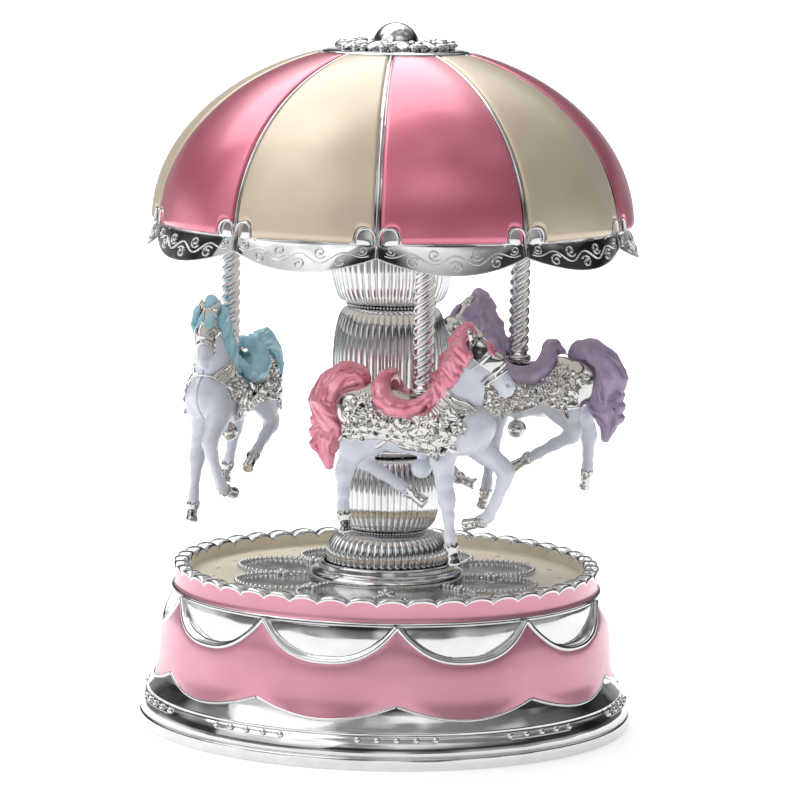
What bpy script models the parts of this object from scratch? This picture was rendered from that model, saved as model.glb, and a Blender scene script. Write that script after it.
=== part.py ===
"""A wind-up carousel music box: fluted column, panelled canopy and three horses on twisted poles,
turned by a spring-driven comb movement in a round base. Metres, +Z up, origin under the base's centre."""

import math

import bmesh
import bpy
from mathutils import Matrix, Vector

MM = 0.001

# ---- Driving dimensions, in millimetres ----
FOOT_R = 62.8
GAP = 0.3
RUNNING = 0.1
LEDGE_Z = 12.3
PLATE_T = 2.0
SEAM_Z = 34.2
DECK_Z = 36.5
DECK_T = 2.0
CROWN_R = 53.9
CROWN_TOP_Z = 40.6
CROWN_SCALLOPS = 46
CROWN_FIRST_DEG = -88.4
CROWN_DEPTH = 1.7
SCREW_CIRCLE_R = 48.0

SPINDLE_R = 1.6
SPINDLE_BORE_R = SPINDLE_R + GAP

PANELS = 10
FIRST_RIB_DEG = -93.5
DOME_R = 60.3
DOME_RISE = 44.8
DOME_Z = 127.6
DOME_TOP_R = 18.0
DOME_TOP_Z = 170.9
DOME_WALL = 1.5
RIB_SINK = 0.8
SKIRT_FLARE = 1.9
SKIRT_DROP = 7.4
RIB_DROP = 3.2
TOP_Z = 178.0
BALL_R = 5.9

COLUMN_WALL = 1.4
CEILING_Z = 125.3
CEILING_T = 1.6
POLE_CIRCLE_R = 44.0
POLE_R = 2.35
POLE_LOBES = 4
POLE_LOBE_DEPTH = 0.3
POLE_LEAD = 10.0
POLE_ROD_R = 1.6
POLE_TOP_Z = 131.5
COLLAR_Z = 90.0
POLE_BALL_Z = 71.4
POLE_BALL_R = 2.4

# Each horse: its name, the angle of its pole round the column, and the way it faces, in degrees.
HORSES = (("pink", -79.4, -20.0), ("lilac", 40.6, 161.0), ("blue", 160.6, 247.0))

# ---- The musical movement ----
BED_Z = 12.6
BED_T = 2.0
BARREL_R = 12.4
BARREL_TOP_Z = 25.5
GREAT_TEETH = 48
GREAT_MODULE = 0.7
GREAT_Z = 14.9
GREAT_T = 1.7
CROWN_TEETH = 30
CROWN_WHEEL_R = 14.2
CROWN_TOOTH_H = 1.5
CYLINDER_TEETH = 10
CYLINDER_PITCH_R = CROWN_WHEEL_R * CYLINDER_TEETH / CROWN_TEETH
CYLINDER_Z = GREAT_Z + GREAT_T + 1.0 + CYLINDER_PITCH_R
CYLINDER_R = 5.6
CYLINDER_X = (19.6, 37.0)
NOTES = 14
PINION_TEETH = 12
WORM_TEETH = 24
WORM_MODULE = 0.5
WORM_R = 1.4
TRAIN_X = 0.0
TRAIN_Y = -(GREAT_TEETH + PINION_TEETH) * GREAT_MODULE / 2 - 0.15
WORM_WHEEL_Z = 19.2
WORM_WHEEL_T = 1.5
WORM_Y = TRAIN_Y - WORM_TEETH * WORM_MODULE / 2 - WORM_R - 0.15
WORM_Z = WORM_WHEEL_Z + WORM_WHEEL_T / 2
BRIDGE_Z = WORM_WHEEL_Z + WORM_WHEEL_T + 1.0
BRIDGE_T = 1.2
KEY_HEIGHT = 7.4
KEY_BOTTOM_Z = 1.6
ARBOR_R = 1.8
COMB_Y = CYLINDER_R + 1.0
COMB_DROP = 0.5
COMB_TOP_Z = CYLINDER_Z + 0.4

# ---- The horse, facing +X with its pole on Z: stations of (x, y, z, radius) along each limb ----
HORSE_LIMBS = {
    "trunk": ((15.2, 0, 82.3, 2.6), (12.6, 0, 82.3, 5.6), (7.5, 0, 82.2, 7.3), (0, 0, 81.0, 6.9),
              (-7, 0, 81.9, 7.0), (-13, 0, 84.0, 7.6), (-17.5, 0, 85.2, 6.0), (-20.0, 0, 85.6, 2.6)),
    "neck": ((6.5, 0, 86, 5.6), (9.6, 0, 92, 5.2), (11.6, 0.2, 97.5, 4.3), (12.6, 0.3, 102, 3.4)),
    "head": ((11.8, 0.2, 103.4, 2.2), (13.2, 0.5, 101.4, 3.3), (15.6, 1.2, 98.2, 3.2),
             (18.0, 1.9, 95.2, 2.4), (20.0, 2.5, 92.9, 2.3), (21.4, 2.9, 91.2, 1.4)),
    "ear_left": ((12.0, 1.9, 103.8, 1.0), (11.9, 2.3, 105.4, 1.0), (11.8, 2.5, 106.8, 0.4)),
    "ear_right": ((12.2, -1.4, 103.8, 1.0), (12.2, -1.8, 105.4, 1.0), (12.1, -2.0, 106.8, 0.4)),
    "mane": ((11.0, 0, 105.0, 1.6), (8.6, 0, 101.5, 2.6), (6.6, 0, 97.0, 2.6), (4.9, 0, 92.5, 2.2)),
    "saddle_seat": ((3.8, 0, 88.6, 2.4), (-1, 0, 86.4, 3.4), (-6, 0, 88.0, 3.6), (-9, 0, 91.4, 2.0)),
    "fore_right": ((6.5, -3.2, 79.0, 4.2), (6.6, -4.2, 74.5, 3.2), (7.6, -4.6, 68.0, 2.1),
                   (8.6, -4.8, 61.5, 1.7), (9.5, -5.0, 55.0, 1.4), (10.2, -5.0, 51.5, 1.8),
                   (10.5, -5.0, 49.5, 1.9)),
    "fore_left": ((10.5, 3.0, 79.5, 4.4), (15.2, 3.9, 75.2, 3.2), (20.0, 4.4, 71.8, 2.3),
                  (18.8, 4.9, 66.0, 1.8), (15.4, 5.6, 59.4, 1.6), (12.6, 6.1, 57.4, 1.6),
                  (9.4, 6.3, 57.3, 1.8)),
    "hind_right": ((-13.0, -3.2, 82.0, 5.4), (-16.4, -5.2, 76.0, 3.6), (-17.8, -6.6, 70.2, 2.2),
                   (-17.5, -7.4, 64.6, 1.6), (-17.2, -7.9, 60.4, 1.5), (-16.8, -8.2, 57.6, 1.9),
                   (-16.6, -8.4, 56.2, 1.9)),
    "hind_left": ((-12.0, 3.0, 82.0, 5.2), (-15.0, 4.2, 76.0, 3.6), (-16.0, 4.6, 71.6, 2.4),
                  (-11.4, 4.8, 68.4, 1.8), (-5.8, 5.0, 65.0, 1.5), (-2.9, 5.1, 63.2, 1.8),
                  (-1.6, 5.2, 62.3, 1.7)),
}
TAIL = ((-16.2, 0, 91.0, 1.4), (-17.4, 0, 93.0, 2.2), (-20.2, 0, 93.2, 2.8), (-23.8, 0, 90.3, 3.2),
        (-25.2, 0, 86.4, 3.3), (-24.2, 0, 82.4, 3.0), (-24.2, 0, 77.3, 2.8), (-24.8, 0, 73.6, 1.9),
        (-24.0, 0, 70.2, 0.9))
HORSE_VOXEL = 0.8
HALF_TRIANGLES = 310
TAIL_TRIANGLES = 110


# ---- Scene, collections and materials ----
def clear_scene():
    for obj in list(bpy.data.objects):
        bpy.data.objects.remove(obj)


def new_collection(name):
    made = bpy.data.collections.new(name)
    bpy.context.scene.collection.children.link(made)
    return made


def new_material(name, colour, roughness, metallic=0.0):
    made = bpy.data.materials.new(name)
    made.use_nodes = True
    made.diffuse_color = (*colour, 1.0)
    shader = made.node_tree.nodes["Principled BSDF"]
    shader.inputs["Base Color"].default_value = (*colour, 1.0)
    shader.inputs["Roughness"].default_value = roughness
    shader.inputs["Metallic"].default_value = metallic
    return made


clear_scene()
PARTS = new_collection("carousel_music_box")
CUTTERS = new_collection("cutters")

CHROME = new_material("chrome_plating", (0.85, 0.85, 0.86), 0.08, 1.0)
PINK = new_material("pink_pearl_paint", (0.78, 0.25, 0.36), 0.3)
CREAM = new_material("cream_paint", (0.72, 0.64, 0.5), 0.35)
WHITE = new_material("pearl_white_paint", (0.78, 0.82, 0.92), 0.3)
LILAC = new_material("lilac_paint", (0.33, 0.22, 0.42), 0.4)
BLUE = new_material("blue_paint", (0.22, 0.5, 0.62), 0.4)
STEEL = new_material("steel", (0.6, 0.6, 0.62), 0.25, 1.0)
BRASS = new_material("brass", (0.75, 0.55, 0.25), 0.25, 1.0)
ZINC = new_material("zinc_casting", (0.55, 0.56, 0.58), 0.45, 1.0)
DARK_PLASTIC = new_material("dark_plastic", (0.08, 0.08, 0.09), 0.5)
MANE_PAINT = {"pink": PINK, "lilac": LILAC, "blue": BLUE}


# ---- Ways of making a solid ----
def place(obj, material, collection=PARTS):
    if obj.name not in collection.objects:
        collection.objects.link(obj)
    if material:
        obj.data.materials.clear()
        obj.data.materials.append(material)
    return obj


def mesh_object(name, bm, material, collection=PARTS):
    """A linked object from a bmesh in millimetres, shaded smooth except at its corners."""
    bmesh.ops.scale(bm, vec=(MM, MM, MM), verts=bm.verts)
    bmesh.ops.recalc_face_normals(bm, faces=bm.faces)
    mesh = bpy.data.meshes.new(name)
    bm.to_mesh(mesh)
    bm.free()
    mesh.shade_smooth()
    mesh.set_sharp_from_angle(angle=math.radians(35))
    return place(bpy.data.objects.new(name, mesh), material, collection)


def turned(name, profile, material, steps=48, closed=True):
    """A lathe-turned solid about Z. The profile is (radius, height) down its outer side, from axis to axis
    when it is open, or round a ring's section when it is closed."""
    mesh = bpy.data.meshes.new(name)
    points = [(r * MM, 0, z * MM) for r, z in profile]
    edges = [(i, i + 1) for i in range(len(points) - 1)]
    if closed:
        edges.append((len(points) - 1, 0))
    mesh.from_pydata(points, edges, [])
    obj = place(bpy.data.objects.new(name, mesh), None)
    screw = obj.modifiers.new("Turn", "SCREW")
    screw.angle = math.tau
    screw.steps = steps
    screw.render_steps = steps
    screw.use_merge_vertices = True
    screw.merge_threshold = 0.00001
    screw.use_smooth_shade = True
    mesh.materials.append(material)
    return obj


def cylinder(name, radius, low, high, material, axis="Z", at=(0, 0, 0), segments=16, collection=PARTS):
    """A plain cylinder along an axis from low to high, offset by at."""
    bm = bmesh.new()
    depth = high - low
    bmesh.ops.create_cone(bm, cap_ends=True, segments=segments, radius1=radius, radius2=radius, depth=depth)
    bmesh.ops.translate(bm, vec=(0, 0, (low + high) / 2), verts=bm.verts)
    if axis == "X":
        bmesh.ops.rotate(bm, matrix=Matrix.Rotation(math.pi / 2, 3, "Y"), verts=bm.verts)
    bmesh.ops.translate(bm, vec=at, verts=bm.verts)
    return mesh_object(name, bm, material, collection)


def add_box(bm, low, high):
    made = bmesh.ops.create_cube(bm, size=1.0)["verts"]
    bmesh.ops.scale(bm, vec=[b - a for a, b in zip(low, high)], verts=made)
    bmesh.ops.translate(bm, vec=[(a + b) / 2 for a, b in zip(low, high)], verts=made)
    return made


def box(name, low, high, material, collection=PARTS):
    bm = bmesh.new()
    add_box(bm, low, high)
    return mesh_object(name, bm, material, collection)


def loft(name, rings, material, closed_round=False, collection=PARTS):
    """A skin over rings of equal length: capped at both ends, or joined last to first when closed_round."""
    bm = bmesh.new()
    rows = [[bm.verts.new(p) for p in ring] for ring in rings]
    pairs = list(zip(rows, rows[1:]))
    if closed_round:
        pairs.append((rows[-1], rows[0]))
    else:
        bm.faces.new(rows[0])
        bm.faces.new(rows[-1])
    for lower, upper in pairs:
        for i in range(len(lower)):
            j = (i + 1) % len(lower)
            bm.faces.new((lower[i], lower[j], upper[j], upper[i]))
    return mesh_object(name, bm, material, collection)


def outline_plate(name, outlines, low, high, material):
    """A flat plate from z low to high. The first outline is its edge and the others are holes."""
    curve = bpy.data.curves.new(name, "CURVE")
    curve.dimensions = "2D"
    curve.fill_mode = "BOTH"
    curve.extrude = (high - low) * MM / 2
    for outline in outlines:
        spline = curve.splines.new("POLY")
        spline.points.add(len(outline) - 1)
        for point, (x, y) in zip(spline.points, outline):
            point.co = (x * MM, y * MM, 0, 1)
        spline.use_cyclic_u = True
    obj = bpy.data.objects.new(name, curve)
    obj.location.z = (low + high) * MM / 2
    return place(obj, material)


def as_mesh(obj):
    """A curve made a mesh with its caps welded, so that a Boolean can take it. The curve is removed."""
    bpy.context.view_layer.update()
    graph = bpy.context.evaluated_depsgraph_get()
    mesh = bpy.data.meshes.new_from_object(obj.evaluated_get(graph))
    bm = bmesh.new()
    bm.from_mesh(mesh)
    bmesh.ops.remove_doubles(bm, verts=bm.verts, dist=0.000001)
    bmesh.ops.dissolve_limit(bm, angle_limit=0.0005, verts=bm.verts, edges=bm.edges)
    bmesh.ops.recalc_face_normals(bm, faces=bm.faces)
    bm.to_mesh(mesh)
    bm.free()
    name = obj.name
    matrix = obj.matrix_world.copy()
    bpy.data.objects.remove(obj)
    made = bpy.data.objects.new(name, mesh)
    made.matrix_world = matrix
    PARTS.objects.link(made)
    return made


def boolean(obj, other, operation):
    """obj joined with, cut by or kept inside other, which becomes a hidden helper."""
    for collection in list(other.users_collection):
        collection.objects.unlink(other)
    CUTTERS.objects.link(other)
    other.hide_render = True
    other.display_type = "WIRE"
    modifier = obj.modifiers.new(operation.title(), "BOOLEAN")
    modifier.operation = operation
    modifier.solver = "EXACT"
    modifier.object = other
    return obj


def circle_points(radius, count=16, centre=(0, 0), start=0.0):
    turns = [start + math.tau * i / count for i in range(count)]
    return [(centre[0] + radius * math.cos(a), centre[1] + radius * math.sin(a)) for a in turns]


def drill(obj, radius, low, high, at=(0, 0), axis="Z", offset=(0, 0, 0), segments=10):
    """A round hole through obj. Along Z it stands at at; along another axis it is moved by offset."""
    where = (at[0], at[1], 0) if axis == "Z" else offset
    cutter = cylinder(obj.name + "_drill", radius, low, high, None, axis, where, segments, CUTTERS)
    return boolean(obj, cutter, "DIFFERENCE")


def gear_outline(teeth, module, addendum=0.8, dedendum=1.05, start=0.0):
    """A spur gear's edge, its teeth a little narrower than half the pitch so that a pair runs freely."""
    pitch_r = teeth * module / 2
    pitch = math.tau / teeth
    root_half = 0.27 * pitch
    tip_half = 0.11 * pitch
    outline = []
    for i in range(teeth):
        middle = start + i * pitch
        for r, turn in (
            (pitch_r - dedendum * module, -root_half),
            (pitch_r + addendum * module, -tip_half),
            (pitch_r + addendum * module, tip_half),
            (pitch_r - dedendum * module, root_half),
        ):
            outline.append((r * math.cos(middle + turn), r * math.sin(middle + turn)))
    return outline


def screw_part(name, at, head_low, head_r, shank_r, tip_z, head_t=1.3):
    """A pan-head screw driven upwards or downwards: its head starts at head_low and its tip is at tip_z."""
    if tip_z > head_low:
        profile = [(0, tip_z), (shank_r, tip_z), (shank_r, head_low + head_t), (head_r, head_low + head_t),
                   (head_r, head_low + 0.4), (head_r - 0.5, head_low), (0, head_low)]
    else:
        top = head_low + head_t
        profile = [(0, top), (head_r - 0.5, top), (head_r, top - 0.4), (head_r, head_low),
                   (shank_r, head_low), (shank_r, tip_z), (0, tip_z)]
    obj = turned(name, profile, STEEL, steps=10, closed=False)
    obj.location = (at[0] * MM, at[1] * MM, 0)
    return obj


def polar(radius, degrees):
    return radius * math.cos(math.radians(degrees)), radius * math.sin(math.radians(degrees))


# ---- The base ----
SCREW_PLACES = [polar(SCREW_CIRCLE_R, 45 + 90 * i) for i in range(4)]


def drum_shell():
    """The flared foot and drum wall with an inner ledge for the bottom plate, and four screw bosses."""
    outer = [(55.0, SEAM_Z), (56.4, 27.5), (57.0, 20), (57.4, 14.2), (58.8, 9.4), (60.3, 8.0), (61.6, 4.8),
             (FOOT_R, 3.0), (FOOT_R, 0)]
    inner = [(59.6, 0), (55.8, 8.0), (55.8, LEDGE_Z), (52.6, LEDGE_Z), (53.0, SEAM_Z)]
    shell = turned("drum_shell", outer + inner, PINK, steps=48)
    for i, (x, y) in enumerate(SCREW_PLACES):
        boss = cylinder(f"boss_{i + 1}", 3.4, LEDGE_Z, 24, None, at=(x, y, 0), segments=12)
        web = box(f"boss_web_{i + 1}", (0, -1, LEDGE_Z), (6.4, 1, 23), None)
        web.location = (x * MM, y * MM, 0)
        web.rotation_euler.z = math.atan2(y, x)
        boolean(shell, boss, "UNION")
        boolean(shell, web, "UNION")
        drill(shell, 1.3 + GAP, 8, 21, at=(x, y))
    return shell


def deck():
    """The top tray: floor, drop-in spigot, ledge and a crown rim whose edge is a ring of scallops."""
    rings = []
    steps = CROWN_SCALLOPS * 2
    for i in range(steps):
        top = CROWN_TOP_Z - (CROWN_DEPTH if i % 2 else 0)
        section = [(4.6, DECK_Z), (51.8, DECK_Z), (52.2, top), (CROWN_R, top), (CROWN_R, 35.6), (54.9, 35.2),
                   (54.9, SEAM_Z + GAP), (52.5, SEAM_Z + GAP), (52.0, 31.8), (50.8, DECK_Z - DECK_T),
                   (4.6, DECK_Z - DECK_T)]
        x, y = polar(1, CROWN_FIRST_DEG + 360 * i / steps)
        rings.append([(r * x, r * y, z) for r, z in section])
    return loft("deck", rings, PINK, closed_round=True)


def deck_collar():
    low = DECK_Z + GAP
    section = [(16.0, low + 4.2), (16.7, low + 4.5), (17.2, low + 4.1), (17.3, low + 2.6), (18.2, low + 2.4),
               (19.4, low + 2.0), (19.8, low + 1.2), (19.8, low), (16.0, low)]
    return turned("deck_collar", section, CHROME, steps=28)


def spindle_bush():
    bore_r = SPINDLE_R + RUNNING
    section = [(6.2, DECK_Z + 1.1), (6.2, DECK_Z + GAP), (4.3, DECK_Z + GAP), (4.3, 32.5), (bore_r, 32.5),
               (bore_r, DECK_Z + 1.1)]
    return turned("spindle_bush", section, BRASS, steps=16)


def base_plate():
    """The bottom cover, set up inside the foot so that the winding key clears the table."""
    high = LEDGE_Z - GAP
    plate = as_mesh(outline_plate("base_plate", [circle_points(55.4, 48), circle_points(ARBOR_R + 0.8, 12)],
                                  high - PLATE_T, high, DARK_PLASTIC))
    for x, y in SCREW_PLACES:
        drill(plate, 1.3 + GAP, 8, 14, at=(x, y))
    for x, y in BED_SCREWS:
        drill(plate, 1.0 + GAP, 8, 14, at=(x, y))
    return plate


# ---- The musical movement ----
BED_SCREWS = ((-15.0, 15.0), (30.0, -15.0))
COMB_SCREWS = ((24.0, 19.5), (33.0, 19.5))
BRIDGE_SCREW = (TRAIN_X + 11.5, TRAIN_Y)
GOVERNOR_EARS_X = (-9.0, 15.0)


def movement_bedplate():
    """The cast bedplate with the cylinder's two bearing ears, the comb's seat and the governor's two ears."""
    low = BED_Z - GAP
    top = low + BED_T
    edge = [(-19, -31), (-13, -34), (18, -34), (22, -28), (36, -18), (41, -10), (41, 19), (37, 24), (-15, 24),
            (-20, 18), (-20, -25)]
    plate = as_mesh(outline_plate("movement_bedplate", [edge], low, top, ZINC))
    for i, x in enumerate((CYLINDER_X[0] - 1.5, CYLINDER_X[1] + 0.4)):
        ear = box(f"cylinder_ear_{i}", (x, -3.2, low + 0.5), (x + 1.1, 3.2, CYLINDER_Z + 2.6), None)
        boolean(plate, ear, "UNION")
    seat_top = CYLINDER_Z - COMB_DROP - GAP
    seat = box("comb_seat", (CYLINDER_X[0], 16.5, low + 0.5), (CYLINDER_X[1], 22.5, seat_top), None)
    boolean(plate, seat, "UNION")
    for i, x in enumerate(GOVERNOR_EARS_X):
        ear = box(f"governor_ear_{i}", (x, WORM_Y - 2, low + 0.5), (x + 1.0, WORM_Y + 2, WORM_Z + 1.8), None)
        boolean(plate, ear, "UNION")
    drill(plate, ARBOR_R + RUNNING, 8, 20, segments=16)
    drill(plate, 0.8 + RUNNING, 8, 20, at=(TRAIN_X, TRAIN_Y), segments=16)
    drill(plate, 1.0 + RUNNING, 10, 45, axis="X", offset=(0, 0, CYLINDER_Z), segments=16)
    drill(plate, 0.6 + RUNNING, -15, 25, axis="X", offset=(0, WORM_Y, WORM_Z), segments=16)
    drill(plate, 0.7 + GAP, 8, 20, at=BRIDGE_SCREW)
    for x, y in BED_SCREWS:
        drill(plate, 1.0 + GAP, 8, 20, at=(x, y))
    for x, y in COMB_SCREWS:
        drill(plate, 1.0 + GAP, 16, 25, at=(x, y))
    return plate


def comb():
    """The tuned steel comb: one tooth a note, shorter towards the treble end."""
    low_x, high_x = CYLINDER_X
    pitch = (high_x - low_x) / NOTES
    edge = [(low_x, 22.2)]
    for i in range(NOTES):
        x = low_x + i * pitch
        root = 15.8 - 3.2 * i / NOTES
        edge += [(x, root), (x + 0.1 * pitch, COMB_Y), (x + 0.62 * pitch, COMB_Y), (x + 0.72 * pitch, root)]
    edge += [(high_x, 14.0), (high_x, 22.2)]
    plate = as_mesh(outline_plate("comb", [edge], CYLINDER_Z - COMB_DROP, COMB_TOP_Z, STEEL))
    for x, y in COMB_SCREWS:
        drill(plate, 1.0 + GAP, 16, 25, at=(x, y))
    return plate


def spring_barrel():
    """The mainspring's cup, open below, with the hub on top that the spindle stands in."""
    floor = BARREL_TOP_Z - 1.3
    low = GREAT_Z + GREAT_T + GAP
    section = [(3.6, BARREL_TOP_Z + 3), (3.6, BARREL_TOP_Z), (BARREL_R, BARREL_TOP_Z), (BARREL_R, low),
               (BARREL_R - 1.0, low), (BARREL_R - 1.0, floor), (SPINDLE_BORE_R, floor),
               (SPINDLE_BORE_R, BARREL_TOP_Z + 3)]
    return turned("spring_barrel", section, BRASS, steps=28)


def great_wheel():
    """The barrel's toothed flange: spur teeth on its edge drive the governor, and a contrate ring on its face
    drives the cylinder."""
    high = GREAT_Z + GREAT_T
    edge = gear_outline(GREAT_TEETH, GREAT_MODULE, start=math.pi / GREAT_TEETH)
    bore = circle_points(ARBOR_R + 0.6, 16)
    wheel = as_mesh(outline_plate("great_wheel", [edge, bore], GREAT_Z, high, BRASS))
    bm = bmesh.new()
    pitch = math.tau * CROWN_WHEEL_R / CROWN_TEETH
    for i in range(CROWN_TEETH):
        tooth = add_box(bm, (CROWN_WHEEL_R - 1.1, -0.24 * pitch, high - 0.4),
                        (CROWN_WHEEL_R + 1.1, 0.24 * pitch, high + CROWN_TOOTH_H))
        for vert in tooth:
            if vert.co.z > high:
                vert.co.y *= 0.5
        turn = Matrix.Rotation(math.tau * (i + 0.5) / CROWN_TEETH, 3, "Z")
        bmesh.ops.rotate(bm, matrix=turn, verts=tooth)
    teeth = mesh_object("contrate_teeth", bm, None)
    return boolean(wheel, teeth, "UNION")


def mainspring():
    """The coiled strip in the barrel, drawn as one spiral ribbon."""
    turns = 4
    steps = 12 * turns
    inner_r = ARBOR_R + 1.2
    outer_r = BARREL_R - 2.0
    thickness = 0.5
    shares = [i / steps for i in range(steps + 1)]
    spiral = [(inner_r + (outer_r - inner_r) * t, math.tau * turns * t) for t in shares]
    inside = [(r * math.cos(a), r * math.sin(a)) for r, a in spiral]
    outside = [((r + thickness) * math.cos(a), (r + thickness) * math.sin(a)) for r, a in reversed(spiral)]
    return outline_plate("mainspring", [inside + outside], GREAT_Z + GREAT_T + 0.8, BARREL_TOP_Z - 2.0, STEEL)


def music_cylinder():
    """The pinned brass cylinder on its shaft, with the pinion that the contrate ring drives."""
    low_x, high_x = CYLINDER_X
    shaft_end = high_x + 2.2
    pinion_low = CROWN_WHEEL_R - 1.0
    drum = cylinder("music_cylinder", CYLINDER_R, low_x + 0.3, high_x - 0.3, BRASS, axis="X", segments=32)
    shaft = cylinder("cylinder_shaft", 1.0, pinion_low + 0.4, shaft_end, None, axis="X", segments=12)
    boolean(drum, shaft, "UNION")
    module = 2 * CYLINDER_PITCH_R / CYLINDER_TEETH
    edge = gear_outline(CYLINDER_TEETH, module, addendum=0.75, dedendum=1.0)
    pinion = as_mesh(outline_plate("cylinder_pinion", [edge], -0.9, 0.9, None))
    upright = Matrix.Rotation(math.pi / 2, 4, "Y")
    pinion.matrix_world = Matrix.Translation((CROWN_WHEEL_R * MM, 0, 0)) @ upright
    boolean(drum, pinion, "UNION")
    bm = bmesh.new()
    pitch = (high_x - low_x) / NOTES
    for i in range(NOTES):
        for k in range(1 + i % 2):
            pin = add_box(bm, (-0.2, -0.2, CYLINDER_R - 0.5), (0.2, 0.2, CYLINDER_R + 0.6))
            angle = math.radians((97 * i + 163 * k + 40 * (i % 3)) % 300 + 120)
            bmesh.ops.rotate(bm, matrix=Matrix.Rotation(angle, 3, "X"), verts=pin)
            bmesh.ops.translate(bm, vec=(low_x + (i + 0.36) * pitch, 0, 0), verts=pin)
    pins = mesh_object("cylinder_pins", bm, None)
    boolean(drum, pins, "UNION")
    for helper in (drum, shaft, pinion, pins):
        helper.location.z += CYLINDER_Z * MM
    return drum


def governor_wheel():
    """The governor's first arbor: a pinion in the great wheel and the wheel that turns the worm."""
    low = GREAT_Z + 0.1
    arbor = cylinder("governor_wheel", 0.8, BED_Z, WORM_WHEEL_Z + WORM_WHEEL_T + 2.2, BRASS,
                     at=(TRAIN_X, TRAIN_Y, 0), segments=10)
    small = outline_plate("train_pinion", [gear_outline(PINION_TEETH, GREAT_MODULE, start=math.pi / 2)],
                          low, low + GREAT_T, None)
    large = outline_plate("train_wheel", [gear_outline(WORM_TEETH, WORM_MODULE, start=math.pi / 2)],
                          WORM_WHEEL_Z, WORM_WHEEL_Z + WORM_WHEEL_T, None)
    for wheel in (small, large):
        wheel.location.x = TRAIN_X * MM
        wheel.location.y = TRAIN_Y * MM
        boolean(arbor, as_mesh(wheel), "UNION")
    return arbor


def governor_bridge():
    """The little cock over the governor's first arbor, carried by a post on the bedplate."""
    top = BRIDGE_Z
    low_corner, high_corner = (TRAIN_X - 2, TRAIN_Y - 2, top), (TRAIN_X + 14, TRAIN_Y + 2, top + BRIDGE_T)
    bridge = box("governor_bridge", low_corner, high_corner, ZINC)
    post = cylinder("bridge_post", 1.8, BED_Z + BED_T, top + 0.6, None, at=(*BRIDGE_SCREW, 0), segments=12)
    boolean(bridge, post, "UNION")
    drill(bridge, 0.7 + GAP, 10, top + 3, at=BRIDGE_SCREW)
    return drill(bridge, 0.8 + RUNNING, top - 1, top + 3, at=(TRAIN_X, TRAIN_Y), segments=16)


def worm_rings():
    """Rings of the worm shaft along X: a plain shaft with one rounded thread in its middle."""
    pitch = math.pi * WORM_MODULE
    half = 3.2
    count = 8
    steps_per_turn = 6
    shaft = circle_points(0.6, count)
    rings = [[(x, y, z) for y, z in shaft] for x in (-9.6, -half - 0.2)]
    steps = round(2 * half / pitch * steps_per_turn)
    for i in range(steps + 1):
        x = -half + 2 * half * i / steps
        phase = math.tau * x / pitch
        ring = []
        for k in range(count):
            a = math.tau * k / count
            r = 1.1 - 0.4 * math.cos(a - phase)
            ring.append((x, r * math.cos(a), r * math.sin(a)))
        rings.append(ring)
    rings += [[(x, y, z) for y, z in shaft] for x in (half + 0.2, 16.4)]
    return rings


def governor_fly():
    """The worm shaft and the two air vanes that hold the tempo."""
    worm = loft("governor_fly", worm_rings(), STEEL)
    vane = box("fly_vane", (8.2, -0.5, -3.6), (13.4, 0.5, 3.6), None)
    boolean(worm, vane, "UNION")
    for helper in (worm, vane):
        helper.location = (0, WORM_Y * MM, WORM_Z * MM)
    return worm


def winding_arbor():
    """The arbor that the key turns: it runs up through both plates into the mainspring's eye."""
    top = BARREL_TOP_Z - 2.4
    low = KEY_BOTTOM_Z + 2.4
    profile = [(0, top), (ARBOR_R, top), (ARBOR_R, 9.6), (1.3, 9.6), (1.3, low), (0, low)]
    return turned("winding_arbor", profile, STEEL, steps=16, closed=False)


def winding_key():
    """A butterfly key: a hub with two ring-shaped wings, flat enough to lie within the foot."""
    high = KEY_BOTTOM_Z + KEY_HEIGHT
    middle = (KEY_BOTTOM_Z + high) / 2
    low, socket_z = KEY_BOTTOM_Z + 0.3, KEY_BOTTOM_Z + 2.0
    bore_r = 1.3 + GAP
    profile = [(0, socket_z), (bore_r, socket_z), (bore_r, high), (3.0, high), (2.4, low), (0, low)]
    hub = turned("winding_key", profile, BRASS, steps=20, closed=False)
    for side, name in ((1, "left"), (-1, "right")):
        wing = [(side * (7.2 + 5.2 * x), KEY_HEIGHT / 2 * y) for x, y in circle_points(1.0, 20)]
        hole = [(side * (8.0 + 2.6 * x), 1.9 * y) for x, y in circle_points(1.0, 14)]
        plate = as_mesh(outline_plate(f"key_wing_{name}", [wing, hole], -0.8, 0.8, None))
        plate.matrix_world = Matrix.Translation((0, 0, middle * MM)) @ Matrix.Rotation(math.pi / 2, 4, "X")
        boolean(hub, plate, "UNION")
    return hub


# ---- The turning column ----
def vase(name, outer, wall, material=CHROME, steps=24):
    """A hollow turned vase: its outer side from the top down, then the same curve a wall inside it."""
    inner = [(r - wall, z) for r, z in reversed(outer)]
    return turned(name, outer + inner, material, steps=steps)


def swell(low_z, high_z, low_r, middle_r, high_r, peak=0.5, count=8):
    """Points down a rounded barrel from high_z to low_z, widest at the share peak of its height."""
    points = []
    for i in range(count + 1):
        t = 1 - i / count
        end_r = high_r if t > peak else low_r
        span = (1 - peak) if t > peak else peak
        away = abs(t - peak) / span
        bulge = math.sqrt(max(0.0, 1 - away ** 2.2))
        points.append((end_r + (middle_r - end_r) * bulge, low_z + (high_z - low_z) * t))
    return points


def column_bowl():
    """The foot of the column: a bowl with a floor and a hub on the spindle."""
    outer = swell(38.4, 49.2, 12.6, 15.3, 9.6, peak=0.4, count=5)
    floor = 38.4
    hub_top = floor + 5
    section = outer + [(SPINDLE_BORE_R, floor), (SPINDLE_BORE_R, hub_top), (4.5, hub_top),
                       (5.0, floor + COLUMN_WALL), (11.0, floor + COLUMN_WALL), (13.6, 43.0), (8.2, 49.2)]
    return turned("column_bowl", section, CHROME, steps=24)


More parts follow.
